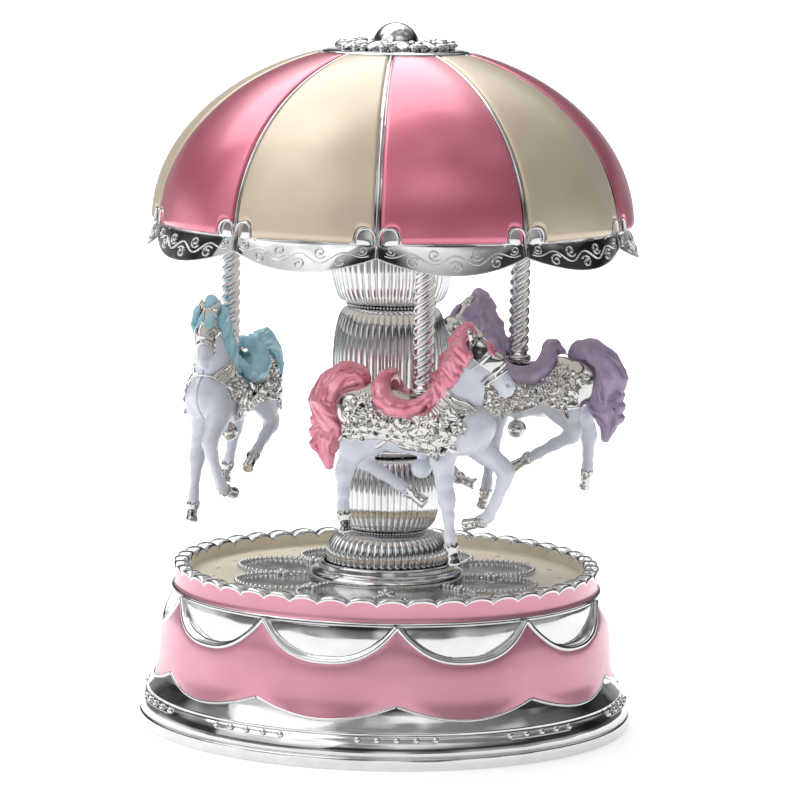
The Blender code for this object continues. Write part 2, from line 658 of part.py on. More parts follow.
def column_pieces():
    vase("column_lower_vase", swell(49.5, 68.6, 9.8, 13.3, 9.6, peak=0.45, count=6), COLUMN_WALL)
    low, high = 68.9, 71.8
    ring = [(9.8, high), (11.4, high - 1), (11.4, low + 1), (9.8, low), (SPINDLE_BORE_R, low),
            (SPINDLE_BORE_R, high)]
    turned("column_ring", ring, CHROME, steps=24)
    vase("column_upper_vase", swell(72.1, 106.6, 9.8, 14.5, 11.0, peak=0.62, count=7), COLUMN_WALL)


def column_capital():
    """The cup under the canopy and the neck that carries the ceiling plate."""
    section = [(6.0, 125.0), (6.0, 120.4), (14.6, 120.4), (15.3, 119.0)]
    section += swell(106.9, 118.0, 11.0, 15.2, 15.0, peak=0.75, count=4)
    section += [(SPINDLE_BORE_R, 106.9), (SPINDLE_BORE_R, 125.0)]
    return turned("column_capital", section, CHROME, steps=24)


def spindle():
    low = BARREL_TOP_Z - 0.9
    profile = [(0, 172.5), (1.2, 172.5), (1.2, 171.4), (SPINDLE_R, 170.9), (SPINDLE_R, low), (0, low)]
    return turned("spindle", profile, STEEL, steps=12, closed=False)


# ---- The canopy ----
def panel_share(degrees):
    """0 over a rib and 1 in the middle of a panel."""
    return abs(math.sin(math.radians(degrees - FIRST_RIB_DEG) * PANELS / 2))


def canopy_section(degrees):
    """The canopy's wall at one angle, as a closed section: down its outside and back up its inside."""
    share = panel_share(degrees)
    outside = [(2.2, DOME_TOP_Z), (DOME_TOP_R - 0.8, DOME_TOP_Z)]
    first = math.asin(DOME_TOP_R / DOME_R)
    for t in (0.0, 0.24, 0.5, 0.75, 1.0):
        turn = first + (math.pi / 2 - first) * t
        r = DOME_R * math.sin(turn)
        z = DOME_Z + DOME_RISE * math.cos(turn)
        sink = RIB_SINK * (1 - share) * r / DOME_R
        outside.append((r - sink, z - 0.4 * sink))
    drop = RIB_DROP + (SKIRT_DROP - RIB_DROP) * share
    outside.append((DOME_R - RIB_SINK + (SKIRT_FLARE + RIB_SINK) * share, DOME_Z - drop))
    inside = []
    for (r0, z0), (r1, z1) in zip(outside, outside[1:]):
        middle_r, middle_z = (r0 + r1) / 2, (z0 + z1) / 2
        normal = Vector((z0 - z1, r1 - r0)).normalized()
        inside.append((middle_r - DOME_WALL * normal.x, middle_z - DOME_WALL * normal.y))
    last_r, last_z = outside[-1]
    inside.append((last_r - 1.2, last_z))
    inside[0] = (2.2, DOME_TOP_Z - DOME_WALL)
    return outside + inside[::-1]


def canopy_shell():
    rings = []
    steps = PANELS * 4
    for i in range(steps):
        degrees = FIRST_RIB_DEG + 360 * i / steps
        x, y = polar(1, degrees)
        rings.append([(r * x, r * y, z) for r, z in canopy_section(degrees)])
    return loft("canopy_shell", rings, PINK, closed_round=True)


def canopy_ceiling():
    """The plate that closes the canopy from below and carries the three pole sockets."""
    high = CEILING_Z + CEILING_T
    outlines = [circle_points(57.0, 48), circle_points(SPINDLE_BORE_R, 12)]
    plate = as_mesh(outline_plate("canopy_ceiling", outlines, CEILING_Z, high, CREAM))
    for i, (x, y) in enumerate(POLE_PLACES):
        socket = cylinder(f"socket_{i + 1}", 4.2, high - 0.8, high + 5.0, None, at=(x, y, 0), segments=12)
        boolean(plate, socket, "UNION")
        drill(plate, POLE_R - POLE_LOBE_DEPTH + GAP, CEILING_Z - 2, high + 8, at=(x, y))
    return plate


def canopy_spacer():
    """The sleeve on the spindle that holds the canopy's top up off the ceiling plate."""
    low, high = CEILING_Z + CEILING_T + GAP, DOME_TOP_Z - DOME_WALL - GAP
    section = [(3.2, high), (3.2, low), (SPINDLE_BORE_R, low), (SPINDLE_BORE_R, high)]
    return turned("canopy_spacer", section, BRASS, steps=16)


def canopy_crown():
    """The pierced-looking ring of leaves under the finial."""
    rings = []
    leaves = 10
    steps = leaves * 4
    low = DOME_TOP_Z + GAP
    for i in range(steps):
        degrees = 360 * i / steps
        wave = 0.5 + 0.5 * math.cos(math.radians(degrees * leaves))
        section = [(6.4, low), (6.4, low + 2.0), (11.5 + 0.8 * wave, low + 2.4 + 0.9 * wave),
                   (13.6 + 1.6 * wave, low + 1.6), (13.2 + 1.6 * wave, low)]
        x, y = polar(1, degrees)
        rings.append([(r * x, r * y, z) for r, z in section])
    return loft("canopy_crown", rings, CHROME, closed_round=True)


def finial_ball():
    """The ball nut on the spindle's end: it clamps the canopy to the column."""
    low = DOME_TOP_Z + GAP
    centre = TOP_Z - BALL_R
    profile = []
    for i in range(9):
        a = math.radians(90 - 19 * i)
        profile.append((BALL_R * math.cos(a), centre + BALL_R * math.sin(a)))
    neck = [(r, z) for r, z in profile if z > low + 1.0]
    section = neck + [(neck[-1][0], low), (1.2 + GAP, low), (1.2 + GAP, low + 2.6), (0, low + 2.6)]
    section[0] = (0, TOP_Z)
    return turned("finial_ball", section, CHROME, steps=24, closed=False)


# ---- Poles and horses ----
POLE_PLACES = [polar(POLE_CIRCLE_R, around) for _, around, _ in HORSES]


def pole_stations():
    """(height, radius, lobe depth) up the pole: ball, rod, collar, twisted shaft and plain top peg."""
    stations = []
    for i in range(1, 7):
        a = math.radians(-90 + 25 * i)
        stations.append((POLE_BALL_Z + POLE_BALL_R * math.sin(a), POLE_BALL_R * math.cos(a), 0.0))
    peg_r = POLE_R - POLE_LOBE_DEPTH
    stations += [(74.2, POLE_ROD_R, 0.0), (COLLAR_Z - 0.2, POLE_ROD_R, 0.0), (COLLAR_Z, 3.1, 0.0),
                 (COLLAR_Z + 1.1, 3.1, 0.0), (COLLAR_Z + 1.3, POLE_R, POLE_LOBE_DEPTH)]
    top = CEILING_Z - 0.6
    steps = 20
    low = COLLAR_Z + 1.3
    for i in range(1, steps + 1):
        stations.append((low + (top - low) * i / steps, POLE_R, POLE_LOBE_DEPTH))
    stations += [(CEILING_Z - 0.5, peg_r, 0.0), (POLE_TOP_Z, peg_r, 0.0)]
    return stations


def pole_mesh():
    rings = []
    count = POLE_LOBES * 2
    for z, radius, depth in pole_stations():
        turn = math.tau * z / POLE_LEAD if depth else 0.0
        ring = []
        for k in range(count):
            r = radius + (depth if k % 2 else -depth)
            a = math.tau * k / count + turn
            ring.append((r * math.cos(a), r * math.sin(a), z))
        rings.append(ring)
    return rings


def limb_curve(name, limbs):
    """Tapering limbs as one bevelled curve: a spline to a limb, a radius at each station."""
    curve = bpy.data.curves.new(name, "CURVE")
    curve.dimensions = "3D"
    curve.bevel_depth = MM
    curve.bevel_resolution = 3
    curve.resolution_u = 5
    curve.use_fill_caps = True
    for stations in limbs:
        spline = curve.splines.new("BEZIER")
        spline.bezier_points.add(len(stations) - 1)
        spline.radius_interpolation = "CARDINAL"
        for point, (x, y, z, radius) in zip(spline.bezier_points, stations):
            point.co = (x * MM, y * MM, z * MM)
            point.radius = radius
            point.handle_left_type = "AUTO"
            point.handle_right_type = "AUTO"
    return place(bpy.data.objects.new(name, curve), None, CUTTERS)


def blended(name, limbs, triangles):
    """The limbs melted into one closed skin, smoothed and thinned to a number of triangles."""
    obj = as_mesh(limb_curve(name, limbs))
    remesh = obj.modifiers.new("Melt", "REMESH")
    remesh.mode = "VOXEL"
    remesh.voxel_size = HORSE_VOXEL * MM
    smooth = obj.modifiers.new("Soften", "SMOOTH")
    smooth.factor = 0.5
    smooth.iterations = 3
    graph = bpy.context.evaluated_depsgraph_get()
    found = sum(len(p.vertices) - 2 for p in obj.evaluated_get(graph).data.polygons)
    thin = obj.modifiers.new("Thin", "DECIMATE")
    thin.ratio = min(1.0, triangles / found)
    return obj


def applied(obj):
    """The object's mesh with its modifiers applied, to be shared by several objects."""
    bpy.context.view_layer.update()
    graph = bpy.context.evaluated_depsgraph_get()
    return bpy.data.meshes.new_from_object(obj.evaluated_get(graph))


def horse_meshes():
    """The moulded horse's two halves, split along its length and bored for the pole and the tail's root."""
    body = blended("horse_body", HORSE_LIMBS.values(), 2 * HALF_TRIANGLES)
    tail = blended("horse_tail", [TAIL], TAIL_TRIANGLES)
    socket = as_mesh(limb_curve("tail_socket", [[(x, y, z, r + 0.5) for x, y, z, r in TAIL]]))
    meshes = {"tail": applied(tail)}
    body_mesh = applied(body)
    for side, low, high in (("left", GAP / 2, 20), ("right", -20, -GAP / 2)):
        half = place(bpy.data.objects.new(f"horse_{side}", body_mesh.copy()), None)
        keep = box(f"horse_{side}_side", (-40, low, 40), (40, high, 120), None)
        boolean(half, keep, "INTERSECT")
        boolean(half, socket, "DIFFERENCE")
        drill(half, POLE_ROD_R + GAP, 60, COLLAR_Z + 30)
        drill(half, 3.1 + GAP, COLLAR_Z - 0.6, COLLAR_Z + 30)
        meshes[side] = applied(half)
        bpy.data.objects.remove(half)
    for helper in (body, tail):
        bpy.data.objects.remove(helper)
    return meshes


def horses():
    """Three horses from the same mouldings. Each hangs on its pole, under an empty on the pole's axis."""
    meshes = horse_meshes()
    rings = pole_mesh()
    for colour, around, facing in HORSES:
        x, y = polar(POLE_CIRCLE_R, around)
        pivot = bpy.data.objects.new(f"{colour}_horse_pivot", None)
        pivot.location = (x * MM, y * MM, 0)
        pivot.rotation_euler.z = math.radians(facing)
        PARTS.objects.link(pivot)
        for piece, material in (("left", WHITE), ("right", WHITE), ("tail", MANE_PAINT[colour])):
            name = f"{colour}_horse_{piece}" if piece == "tail" else f"{colour}_horse_{piece}_half"
            obj = bpy.data.objects.new(name, meshes[piece].copy())
            obj.parent = pivot
            place(obj, material)
        pole = loft(f"{colour}_horse_pole", rings, CHROME)
        pole.location = (x * MM, y * MM, 0)


def main():
    drum_shell()
    deck()
    deck_collar()
    spindle_bush()
    base_plate()
    for i, place_xy in enumerate(SCREW_PLACES):
        screw_part(f"base_screw_{i + 1}", place_xy, LEDGE_Z - GAP - PLATE_T - GAP - 1.3, 2.4, 1.3, 20.0)
    movement_bedplate()
    for i, place_xy in enumerate(BED_SCREWS):
        screw_part(f"bedplate_screw_{i + 1}", place_xy, BED_Z + BED_T, 2.0, 1.0, 10.5)
    comb()
    for i, place_xy in enumerate(COMB_SCREWS):
        screw_part(f"comb_screw_{i + 1}", place_xy, COMB_TOP_Z + GAP, 1.9, 1.0, 17.0)
    spring_barrel()
    great_wheel()
    mainspring()
    music_cylinder()
    governor_wheel()
    governor_bridge()
    screw_part("bridge_screw", BRIDGE_SCREW, BRIDGE_Z + BRIDGE_T + GAP, 1.5, 0.7, 12.5)
    governor_fly()
    winding_arbor()
    winding_key()
    spindle()
    column_bowl()
    column_pieces()
    column_capital()
    canopy_ceiling()
    canopy_spacer()
    canopy_shell()
    canopy_crown()
    finial_ball()
    horses()


main()
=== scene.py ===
"""Looks for the carousel music box: detailed pieces, materials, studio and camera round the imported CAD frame.
Lengths are in millimetres until a mesh is made. Angles round the axis are in degrees from the front, which
is -Y, towards +X."""

import math

import bmesh
import bpy
import numpy as np
import openvdb
from mathutils import Euler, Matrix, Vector


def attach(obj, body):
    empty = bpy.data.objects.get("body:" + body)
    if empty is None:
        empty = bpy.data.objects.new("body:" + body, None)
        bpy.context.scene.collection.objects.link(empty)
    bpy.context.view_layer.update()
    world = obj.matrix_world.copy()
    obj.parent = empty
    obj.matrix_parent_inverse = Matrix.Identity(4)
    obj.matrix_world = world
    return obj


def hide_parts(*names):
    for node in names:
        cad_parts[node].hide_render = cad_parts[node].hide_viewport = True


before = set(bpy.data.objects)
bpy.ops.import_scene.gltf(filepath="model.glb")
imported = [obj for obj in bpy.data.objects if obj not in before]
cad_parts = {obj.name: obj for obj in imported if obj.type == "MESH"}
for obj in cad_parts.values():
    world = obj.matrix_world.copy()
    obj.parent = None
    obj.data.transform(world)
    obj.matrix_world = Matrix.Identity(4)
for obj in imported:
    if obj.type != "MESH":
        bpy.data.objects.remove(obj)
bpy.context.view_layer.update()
MM = 0.001
TURN = 360.0

# ---- Sizes, in millimetres, and counts ----
CUSPS = 10
CUSP_START = 3.0
SWAG_TOP, SWAG_LOW = 34.0, 25.2
SWAG_R = 54.9
SCALLOP_TOP, SCALLOP_LOW = 15.0, 11.4
FOOT_BEADS = 5
FOOT_BEAD_STEP = 4.45
FOOT_BEAD_R = 0.85
BEAD_PITCH = 1.35
CROWN_LOBES = 46
CROWN_START = -2.3
CROWN_TOP, CROWN_VALLEY = 40.9, 39.05
DECK_Z = 36.5
DECK_DOTS, DOT_CIRCLE_R = 24, 44.5
PETALS = 8
PETAL_CIRCLE_R, PETAL_CENTRE_R, PETAL_WAIST_R = 11.1, 29.0, 26.8
REEDS = 50
REED_DEPTH = 0.85
DOME_R, DOME_RISE, DOME_Z = 60.3, 44.8, 127.6
DOME_TOP_R = 18.0
PANELS = 10
PANEL = TURN / PANELS
RIB_START = -3.5
SKIRT_TOP = 127.3
SKIRT_CUSP, SKIRT_LOW = 124.2, 120.3
NICHE_S, NICHE_W, NICHE_H, NICHE_POWER = 2.75, 2.5, 3.7, 2.6
SCROLLS = 7
LEAVES = 11
POLE_LEAD = 10.0
POLE_CIRCLE_R = 44.0
BALL_R = 5.9
TOP_Z = 178.0
CAMERA_PITCH, CAMERA_YAW, CAMERA_ROLL = 7.6, -0.15, 1.05
# Each horse: its name, the angle of its pole round the axis, and its heading from +X, in degrees.
HORSES = (("pink", 10.6, -20.0), ("lilac", 130.6, 161.0), ("blue", 250.6, 247.0))


# ---- Materials ----
def shader_nodes(name):
    """A new material: its node tree and its Principled shader."""
    made = bpy.data.materials.new(name)
    made.use_nodes = True
    return made, made.node_tree, made.node_tree.nodes["Principled BSDF"]


def noise(tree, scale, detail=4.0, roughness=0.5, stretch=None):
    """A noise texture in object space. The scale is in features per metre."""
    coordinates = tree.nodes.new("ShaderNodeTexCoord")
    texture = tree.nodes.new("ShaderNodeTexNoise")
    texture.inputs["Scale"].default_value = scale
    texture.inputs["Detail"].default_value = detail
    texture.inputs["Roughness"].default_value = roughness
    source = coordinates.outputs["Object"]
    if stretch:
        mapping = tree.nodes.new("ShaderNodeMapping")
        mapping.inputs["Scale"].default_value = stretch
        tree.links.new(source, mapping.inputs["Vector"])
        source = mapping.outputs["Vector"]
    tree.links.new(source, texture.inputs["Vector"])
    return texture


def remapped(tree, output, low, high, from_low=0.3, from_high=0.7):
    node = tree.nodes.new("ShaderNodeMapRange")
    node.inputs["From Min"].default_value = from_low
    node.inputs["From Max"].default_value = from_high
    node.inputs["To Min"].default_value = low
    node.inputs["To Max"].default_value = high
    tree.links.new(output, node.inputs["Value"])
    return node.outputs["Result"]


def ramped(tree, output, *stops):
    """A colour ramp over (position, colour) stops."""
    node = tree.nodes.new("ShaderNodeValToRGB")
    ramp = node.color_ramp
    while len(ramp.elements) < len(stops):
        ramp.elements.new(0.5)
    for element, (position, colour) in zip(ramp.elements, stops):
        element.position = position
        element.color = (*colour, 1.0)
    tree.links.new(output, node.inputs["Fac"])
    return node.outputs["Color"]


def bumped(tree, shader, output, strength, distance):
    node = tree.nodes.new("ShaderNodeBump")
    node.inputs["Strength"].default_value = strength
    node.inputs["Distance"].default_value = distance
    tree.links.new(output, node.inputs["Height"])
    tree.links.new(node.outputs["Normal"], shader.inputs["Normal"])


def shade(colour, factor):
    return tuple(min(1.0, c * factor) for c in colour)


def plating(name, colour, rough=(0.04, 0.11), ripple=0.22):
    """Bright plating on a moulding: faint haze patches and the slight ripple of the plastic beneath."""
    made, tree, shader = shader_nodes(name)
    haze = noise(tree, 180.0, 5.0, 0.6)
    tone = ramped(tree, haze.outputs["Fac"], (0.3, shade(colour, 0.93)), (0.7, shade(colour, 1.04)))
    tree.links.new(tone, shader.inputs["Base Color"])
    tree.links.new(remapped(tree, haze.outputs["Fac"], *rough), shader.inputs["Roughness"])
    shader.inputs["Metallic"].default_value = 1.0
    swell = noise(tree, 70.0, 1.0)
    bumped(tree, shader, swell.outputs["Fac"], ripple, 0.002)
    return made


def grained(name, dark, light, drift, grain, rough, bump, stretch=None):
    """A material whose tone drifts slowly from dark to light. Its fine grain sets its roughness and its bump.
    drift and grain are (scale, detail) of their noises. bump is (strength, distance)."""
    made, tree, shader = shader_nodes(name)
    slow = noise(tree, *drift)
    tree.links.new(ramped(tree, slow.outputs["Fac"], (0.3, dark), (0.7, light)), shader.inputs["Base Color"])
    fine = noise(tree, *grain, stretch=stretch)
    tree.links.new(remapped(tree, fine.outputs["Fac"], *rough), shader.inputs["Roughness"])
    bumped(tree, shader, fine.outputs["Fac"], *bump)
    return made, shader


def paint(name, dark, light, rough, metallic, coat, speck=0.01, scale=60.0):
    """Sprayed pearl paint: slow tone drift, a faint orange peel, and a thin clear coat."""
    made, shader = grained(name, dark, light, (scale, 3.0), (700.0, 2.0), rough, (speck, 0.0002))
    shader.inputs["Metallic"].default_value = metallic
    shader.inputs["Coat Weight"].default_value = coat
    shader.inputs["Coat Roughness"].default_value = 0.18
    return made


def brushed(name, colour, rough=(0.2, 0.34)):
    """Machined metal: fine turning marks and a little tarnish."""
    tones = shade(colour, 0.8), shade(colour, 1.06)
    made, shader = grained(name, *tones, (140.0, 5.0), (900.0, 3.0), rough, (0.12, 0.0001), (1.0, 1.0, 14.0))
    shader.inputs["Metallic"].default_value = 1.0
    return made


def moulded(name, colour, rough=(0.45, 0.6)):
    """Plain moulded plastic with a spark-eroded grain."""
    tones = shade(colour, 0.9), shade(colour, 1.08)
    return grained(name, *tones, (90.0, 3.0), (3200.0, 2.0), rough, (0.2, 0.0002))[0]


CHROME = plating("chrome", (0.70, 0.705, 0.71))
CHROME_SOFT = plating("chrome_harness", (0.64, 0.635, 0.62), (0.04, 0.12), 0.3)
# A lighter copy of the chrome for the deck petals. Its higher roughness is a satin finish. Its lighter tone is
# painted light: it stands in for the brighter reflection the petals show though they lie in the canopy's shade.
CHROME_DECK_PAINTED_LIGHT = plating("chrome_deck_painted_light", (0.80, 0.80, 0.79), (0.16, 0.26), 0.2)
CANDY_ROUGH = (0.29, 0.33)
PINK_CANOPY = paint("pink_canopy_paint", (0.70, 0.17, 0.25), (0.77, 0.20, 0.29), CANDY_ROUGH, 0.5, 0.9)
CREAM_CANOPY = paint("cream_canopy_paint", (0.66, 0.55, 0.42), (0.72, 0.61, 0.47), (0.34, 0.42), 0.3, 0.4)
PINK_BASE = paint("pink_base_paint", (0.66, 0.28, 0.36), (0.73, 0.33, 0.42), CANDY_ROUGH, 0.5, 0.45)
CREAM_DECK = paint("cream_deck_paint", (0.76, 0.68, 0.54), (0.86, 0.78, 0.62), (0.34, 0.46), 0.0, 0.2, 0.03)
PEARL = paint("pearl_white_paint", (0.62, 0.66, 0.76), (0.72, 0.76, 0.85), (0.2, 0.3), 0.0, 0.5, 0.02, 140.0)
MANE_COLOURS = {
    "pink": ((0.66, 0.15, 0.23), (0.86, 0.34, 0.44), (0.16, 0.28), 0.3, 1.0),
    "lilac": ((0.31, 0.23, 0.38), (0.50, 0.40, 0.57), (0.3, 0.45), 0.0, 0.4),
    "blue": ((0.22, 0.50, 0.64), (0.42, 0.72, 0.84), (0.26, 0.4), 0.0, 0.4),
}
MANE = {hue: paint(f"{hue}_mane_paint", *values, 0.04, 240.0) for hue, values in MANE_COLOURS.items()}
STEEL = brushed("steel", (0.6, 0.6, 0.62))
BRASS = brushed("brass", (0.8, 0.6, 0.3))
ZINC = brushed("zinc_casting", (0.5, 0.51, 0.53), (0.4, 0.55))
SPRING = brushed("blued_spring_steel", (0.16, 0.2, 0.34))
BLACK = moulded("black_plastic", (0.03, 0.03, 0.033))
CEILING = moulded("ceiling_plastic", (0.78, 0.74, 0.67), (0.35, 0.5))


# ---- Meshes ----
def outward(points, quads):
    """The same faces, turned so that a closed surface faces out."""
    a, b, c, d = (points[quads[:, i]] for i in range(4))
    volume = np.einsum("ij,ij->i", a, np.cross(b, c)).sum() + np.einsum("ij,ij->i", a, np.cross(c, d)).sum()
    return quads if volume > 0 else quads[:, ::-1]


def make(name, points, quads, material, body="base", slot="plating", replaces=(), sharp=38.0):
    """A piece from points in millimetres and an array of quads. material is one material, or a pair: the
    materials and each face's index among them."""
    mesh = bpy.data.meshes.new(name)
    mesh.vertices.add(len(points))
    mesh.vertices.foreach_set("co", (np.asarray(points, np.float64) * MM).ravel())
    mesh.loops.add(quads.size)
    mesh.loops.foreach_set("vertex_index", np.asarray(quads, np.int32).ravel())
    mesh.polygons.add(len(quads))
    mesh.polygons.foreach_set("loop_start", np.arange(0, quads.size, 4, dtype=np.int32))
    materials, indices = material if isinstance(material, tuple) else ([material], None)
    for entry in materials:
        mesh.materials.append(entry)
    if indices is not None:
        mesh.polygons.foreach_set("material_index", np.asarray(indices, np.int32))
    mesh.update(calc_edges=True)
    bm = bmesh.new()
    bm.from_mesh(mesh)
    bmesh.ops.remove_doubles(bm, verts=bm.verts, dist=1e-7)
    bm.to_mesh(mesh)
    bm.free()
    mesh.shade_smooth()
    mesh.set_sharp_from_angle(angle=math.radians(sharp))
    return piece(bpy.data.objects.new(name, mesh), body, replaces)


def piece(obj, body, replaces=()):
    if obj.name not in bpy.context.scene.collection.objects:
        bpy.context.scene.collection.objects.link(obj)
    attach(obj, body)
    if replaces:
        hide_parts(*replaces)
    return obj


def grid_quads(rows, columns, wrap_rows=False, wrap_columns=False):
    """Quads joining a rows by columns array of points, stored row by row."""
    i = np.arange(rows if wrap_rows else rows - 1)[:, None]
    j = np.arange(columns if wrap_columns else columns - 1)[None, :]
    here, below = i * columns, (i + 1) % rows * columns
    after = (j + 1) % columns
    return np.stack([here + j, here + after, below + after, below + j], -1).reshape(-1, 4)


def slab(outer, inner):
    """(points, quads) of a plate between two (rows, columns, 3) sheets, closed round its edge."""
    rows, columns = outer.shape[:2]
    points = np.concatenate([outer.reshape(-1, 3), inner.reshape(-1, 3)])
    face = grid_quads(rows, columns)
    offset = rows * columns
    edge = np.concatenate([
        np.arange(columns), np.arange(1, rows) * columns + columns - 1,
        (rows - 1) * columns + np.arange(columns - 2, -1, -1), np.arange(rows - 2, 0, -1) * columns,
    ])
    after = np.roll(edge, -1)
    sides = np.stack([edge, edge + offset, after + offset, after], -1)
    return points, np.concatenate([face, face[:, ::-1] + offset, sides])


def directions(angles):
    """Unit vectors round the axis for angles in degrees from the front."""
    turn = np.radians(angles)
    return np.sin(turn), -np.cos(turn)


def spun(radius, height, angles):
    """Points (rows, columns, 3). Radii and heights are for each row, or for each row and column."""
    x, y = directions(np.asarray(angles))
    return np.stack([radius * x, radius * y, height + 0 * radius * x], -1)


def bulge(t, power=2):
    """A rounded hump: 1 where t is 0, down to 0 where it is 1 or -1."""
    return np.sqrt(np.clip(1 - np.abs(t) ** power, 0, 1))


def revolve(name, profile, material, columns=240, closed=True, **options):
    """A turned piece from (radius, height) points: a ring's section when closed, or from axis to axis."""
    profile = np.asarray(profile, float)
    angles = np.arange(columns) * TURN / columns
    return wrapped(name, spun(profile[:, :1], profile[:, 1:], angles), material, closed, **options)


def wrapped(name, points, material, closed=True, **options):
    """A piece from (rows, columns, 3) points that close round the axis, and along their rows when closed."""
    rows, columns = points.shape[:2]
    flat = points.reshape(-1, 3)
    quads = outward(flat, grid_quads(rows, columns, closed, True))
    return make(name, flat, quads, material, **options)


def rounded(profile, radius, steps=4):
    """The closed profile with its corners turned into short arcs."""
    points = [np.array(p, float) for p in profile]
    made = []
    for i, corner in enumerate(points):
        before, after = points[i - 1], points[(i + 1) % len(points)]
        reach = min(radius, 0.45 * np.linalg.norm(before - corner), 0.45 * np.linalg.norm(after - corner))
        start = corner + (before - corner) / np.linalg.norm(before - corner) * reach
        end = corner + (after - corner) / np.linalg.norm(after - corner) * reach
        for t in np.linspace(0, 1, steps + 1):
            made.append((1 - t) ** 2 * start + 2 * t * (1 - t) * corner + t ** 2 * end)
    return np.array(made)


def unit_ball(subdivisions):
    """(points, quads) of a sphere of radius 1. A triangle is a quad whose last corner repeats."""
    bm = bmesh.new()
    bmesh.ops.create_icosphere(bm, subdivisions=subdivisions, radius=1.0)
    points = np.array([v.co for v in bm.verts])
    quads = np.array([[v.index for v in f.verts] + [f.verts[0].index] for f in bm.faces])
    bm.free()
    return points, quads


def blobs(places, subdivisions=2):
    """(points, quads) of many small ellipsoids. Each place is (centre, three axis vectors as rows)."""
    base, faces = unit_ball(subdivisions)
    points = []
    quads = []
    for centre, axes in places:
        quads.append(faces + len(base) * len(points))
        points.append(base @ np.asarray(axes) + centre)
    return np.concatenate(points), np.concatenate(quads)


def balls(centres, radius):
    return blobs([(centre, np.eye(3) * radius) for centre in centres])


def beaded(name, balls_made, material, body="base", replaces=()):
    """A piece of the balls or blobs given as (points, quads). It is written as triangles."""
    points, quads = balls_made
    mesh = bpy.data.meshes.new(name)
    mesh.from_pydata((points * MM).tolist(), [], quads[:, :3].tolist())
    mesh.materials.append(material)
    mesh.shade_smooth()
    return piece(bpy.data.objects.new(name, mesh), body, replaces)


def wires(name, paths, radius, body="base", sides=3, cyclic=False):
    """Chrome wires along lists of points, as one piece of tubes with capped ends."""
    curve = bpy.data.curves.new(name, "CURVE")
    curve.dimensions = "3D"
    curve.bevel_depth = radius * MM
    curve.bevel_resolution = sides
    curve.use_fill_caps = True
    for path in paths:
        spline = curve.splines.new("POLY")
        spline.points.add(len(path) - 1)
        homogeneous = np.concatenate([np.asarray(path) * MM, np.ones((len(path), 1))], 1)
        spline.points.foreach_set("co", homogeneous.ravel())
        spline.use_cyclic_u = cyclic
        spline.use_smooth = True
    curve.materials.append(CHROME)
    return piece(bpy.data.objects.new(name, curve), body)


# ---- The base ----
def per_bay(angles, start, bays):
    """For each angle, its place t across its bay, from -1 to 1 between the bay's two cusps."""
    step = TURN / bays
    return ((np.asarray(angles) - start) % step) / step * 2 - 1


DRUM_WALL = np.array([(54.7, 34.3), (54.75, 33.8), (54.8, 33.2), (55.0, 32.0), (55.5, 30.3), (55.95, 28.7),
                      (56.3, 27.0), (56.7, 22.5), (56.95, 18.0), (57.15, 15.5), (57.5, 14.0), (58.0, 12.6),
                      (58.8, 11.2), (59.7, 9.9), (60.3, 9.1)])
DRUM_FOOT = [(60.55, 8.8), (60.55, 8.0), (61.2, 7.5), (61.9, 6.5), (62.4, 5.3), (62.6, 4.2), (62.55, 3.6),
             (62.3, 3.45), (62.3, 3.2), (62.8, 3.0), (62.8, 0.3), (62.5, 0.0), (59.8, 0.0), (59.4, 0.4),
             (55.9, 8.0), (55.8, 12.3), (52.7, 12.3), (53.0, 34.1)]


def drum_radius(z):
    return np.interp(z, DRUM_WALL[::-1, 1], DRUM_WALL[::-1, 0])


def swag_height(t):
    return SWAG_TOP - (SWAG_TOP - SWAG_LOW) * (1 - np.abs(t) ** 2.5)


def scallop_height(t):
    return SCALLOP_LOW + (SCALLOP_TOP - SCALLOP_LOW) * np.abs(t) ** 1.9


def drum_body():
    """The plated moulding. Its wall has fine rows over the swags, which are cut back to stand upright."""
    angles = np.arange(720) * TURN / 720 + CUSP_START
    wall = rounded([*DRUM_WALL, *DRUM_FOOT], 0.3, 2)
    swags = np.flatnonzero((wall[:, 0] > 54) & (wall[:, 1] > 23.9) & (wall[:, 1] < 33.95))
    fine = np.arange(33.9, 23.95, -0.25)
    wall = np.concatenate([wall[:swags[0]], np.stack([drum_radius(fine), fine], 1), wall[swags[-1] + 1:]])
    outer = wall[:, 0] > 54
    radius, height = wall[:, :1] + 0 * angles, wall[:, 1:] + 0 * angles
    edge = swag_height(per_bay(angles, CUSP_START, CUSPS))
    inside_swag = np.clip((height - edge) / 0.8, 0, 1) * np.clip((SWAG_TOP + 0.25 - height) / 0.25, 0, 1)
    upright = SWAG_R - 0.55 * np.clip((height - SWAG_LOW) / (SWAG_TOP - SWAG_LOW), 0, 1) ** 4
    radius += (upright - radius) * inside_swag * outer[:, None]
    wrapped("drum_body", spun(radius, height, angles), CHROME, replaces=["drum_shell"], sharp=60)


def drum_paint():
    """The padded pink band between the swags and the scallops."""
    angles = np.arange(720) * TURN / 720 + CUSP_START
    t = per_bay(angles, CUSP_START, CUSPS)
    share = np.linspace(0, 1, 15)[:, None]
    low, high = scallop_height(t), np.minimum(swag_height(t), SWAG_TOP - 0.2)
    height = low + (high - low) * share
    swell = 0.22 + 0.5 * bulge(2 * share - 1, 4) * np.clip((high - low) / 10, 0.3, 1)
    outside = spun(drum_radius(height) + swell, height, angles)
    inside = spun(drum_radius(height) - 0.3, height, angles)[::-1]
    wrapped("drum_paint", np.concatenate([outside, inside]), PINK_BASE, slot="drum")


def drum_trim(name, curve, thick, lift):
    """A plated edge along every swag or scallop."""
    paths = []
    for bay in range(CUSPS):
        s = np.linspace(-0.985, 0.985, 49)
        z = curve(s)
        x, y = directions(CUSP_START + (bay + (s + 1) / 2) * TURN / CUSPS)
        r = drum_radius(z) + lift
        paths.append(np.stack([r * x, r * y, z], 1))
    wires(name, paths, thick)


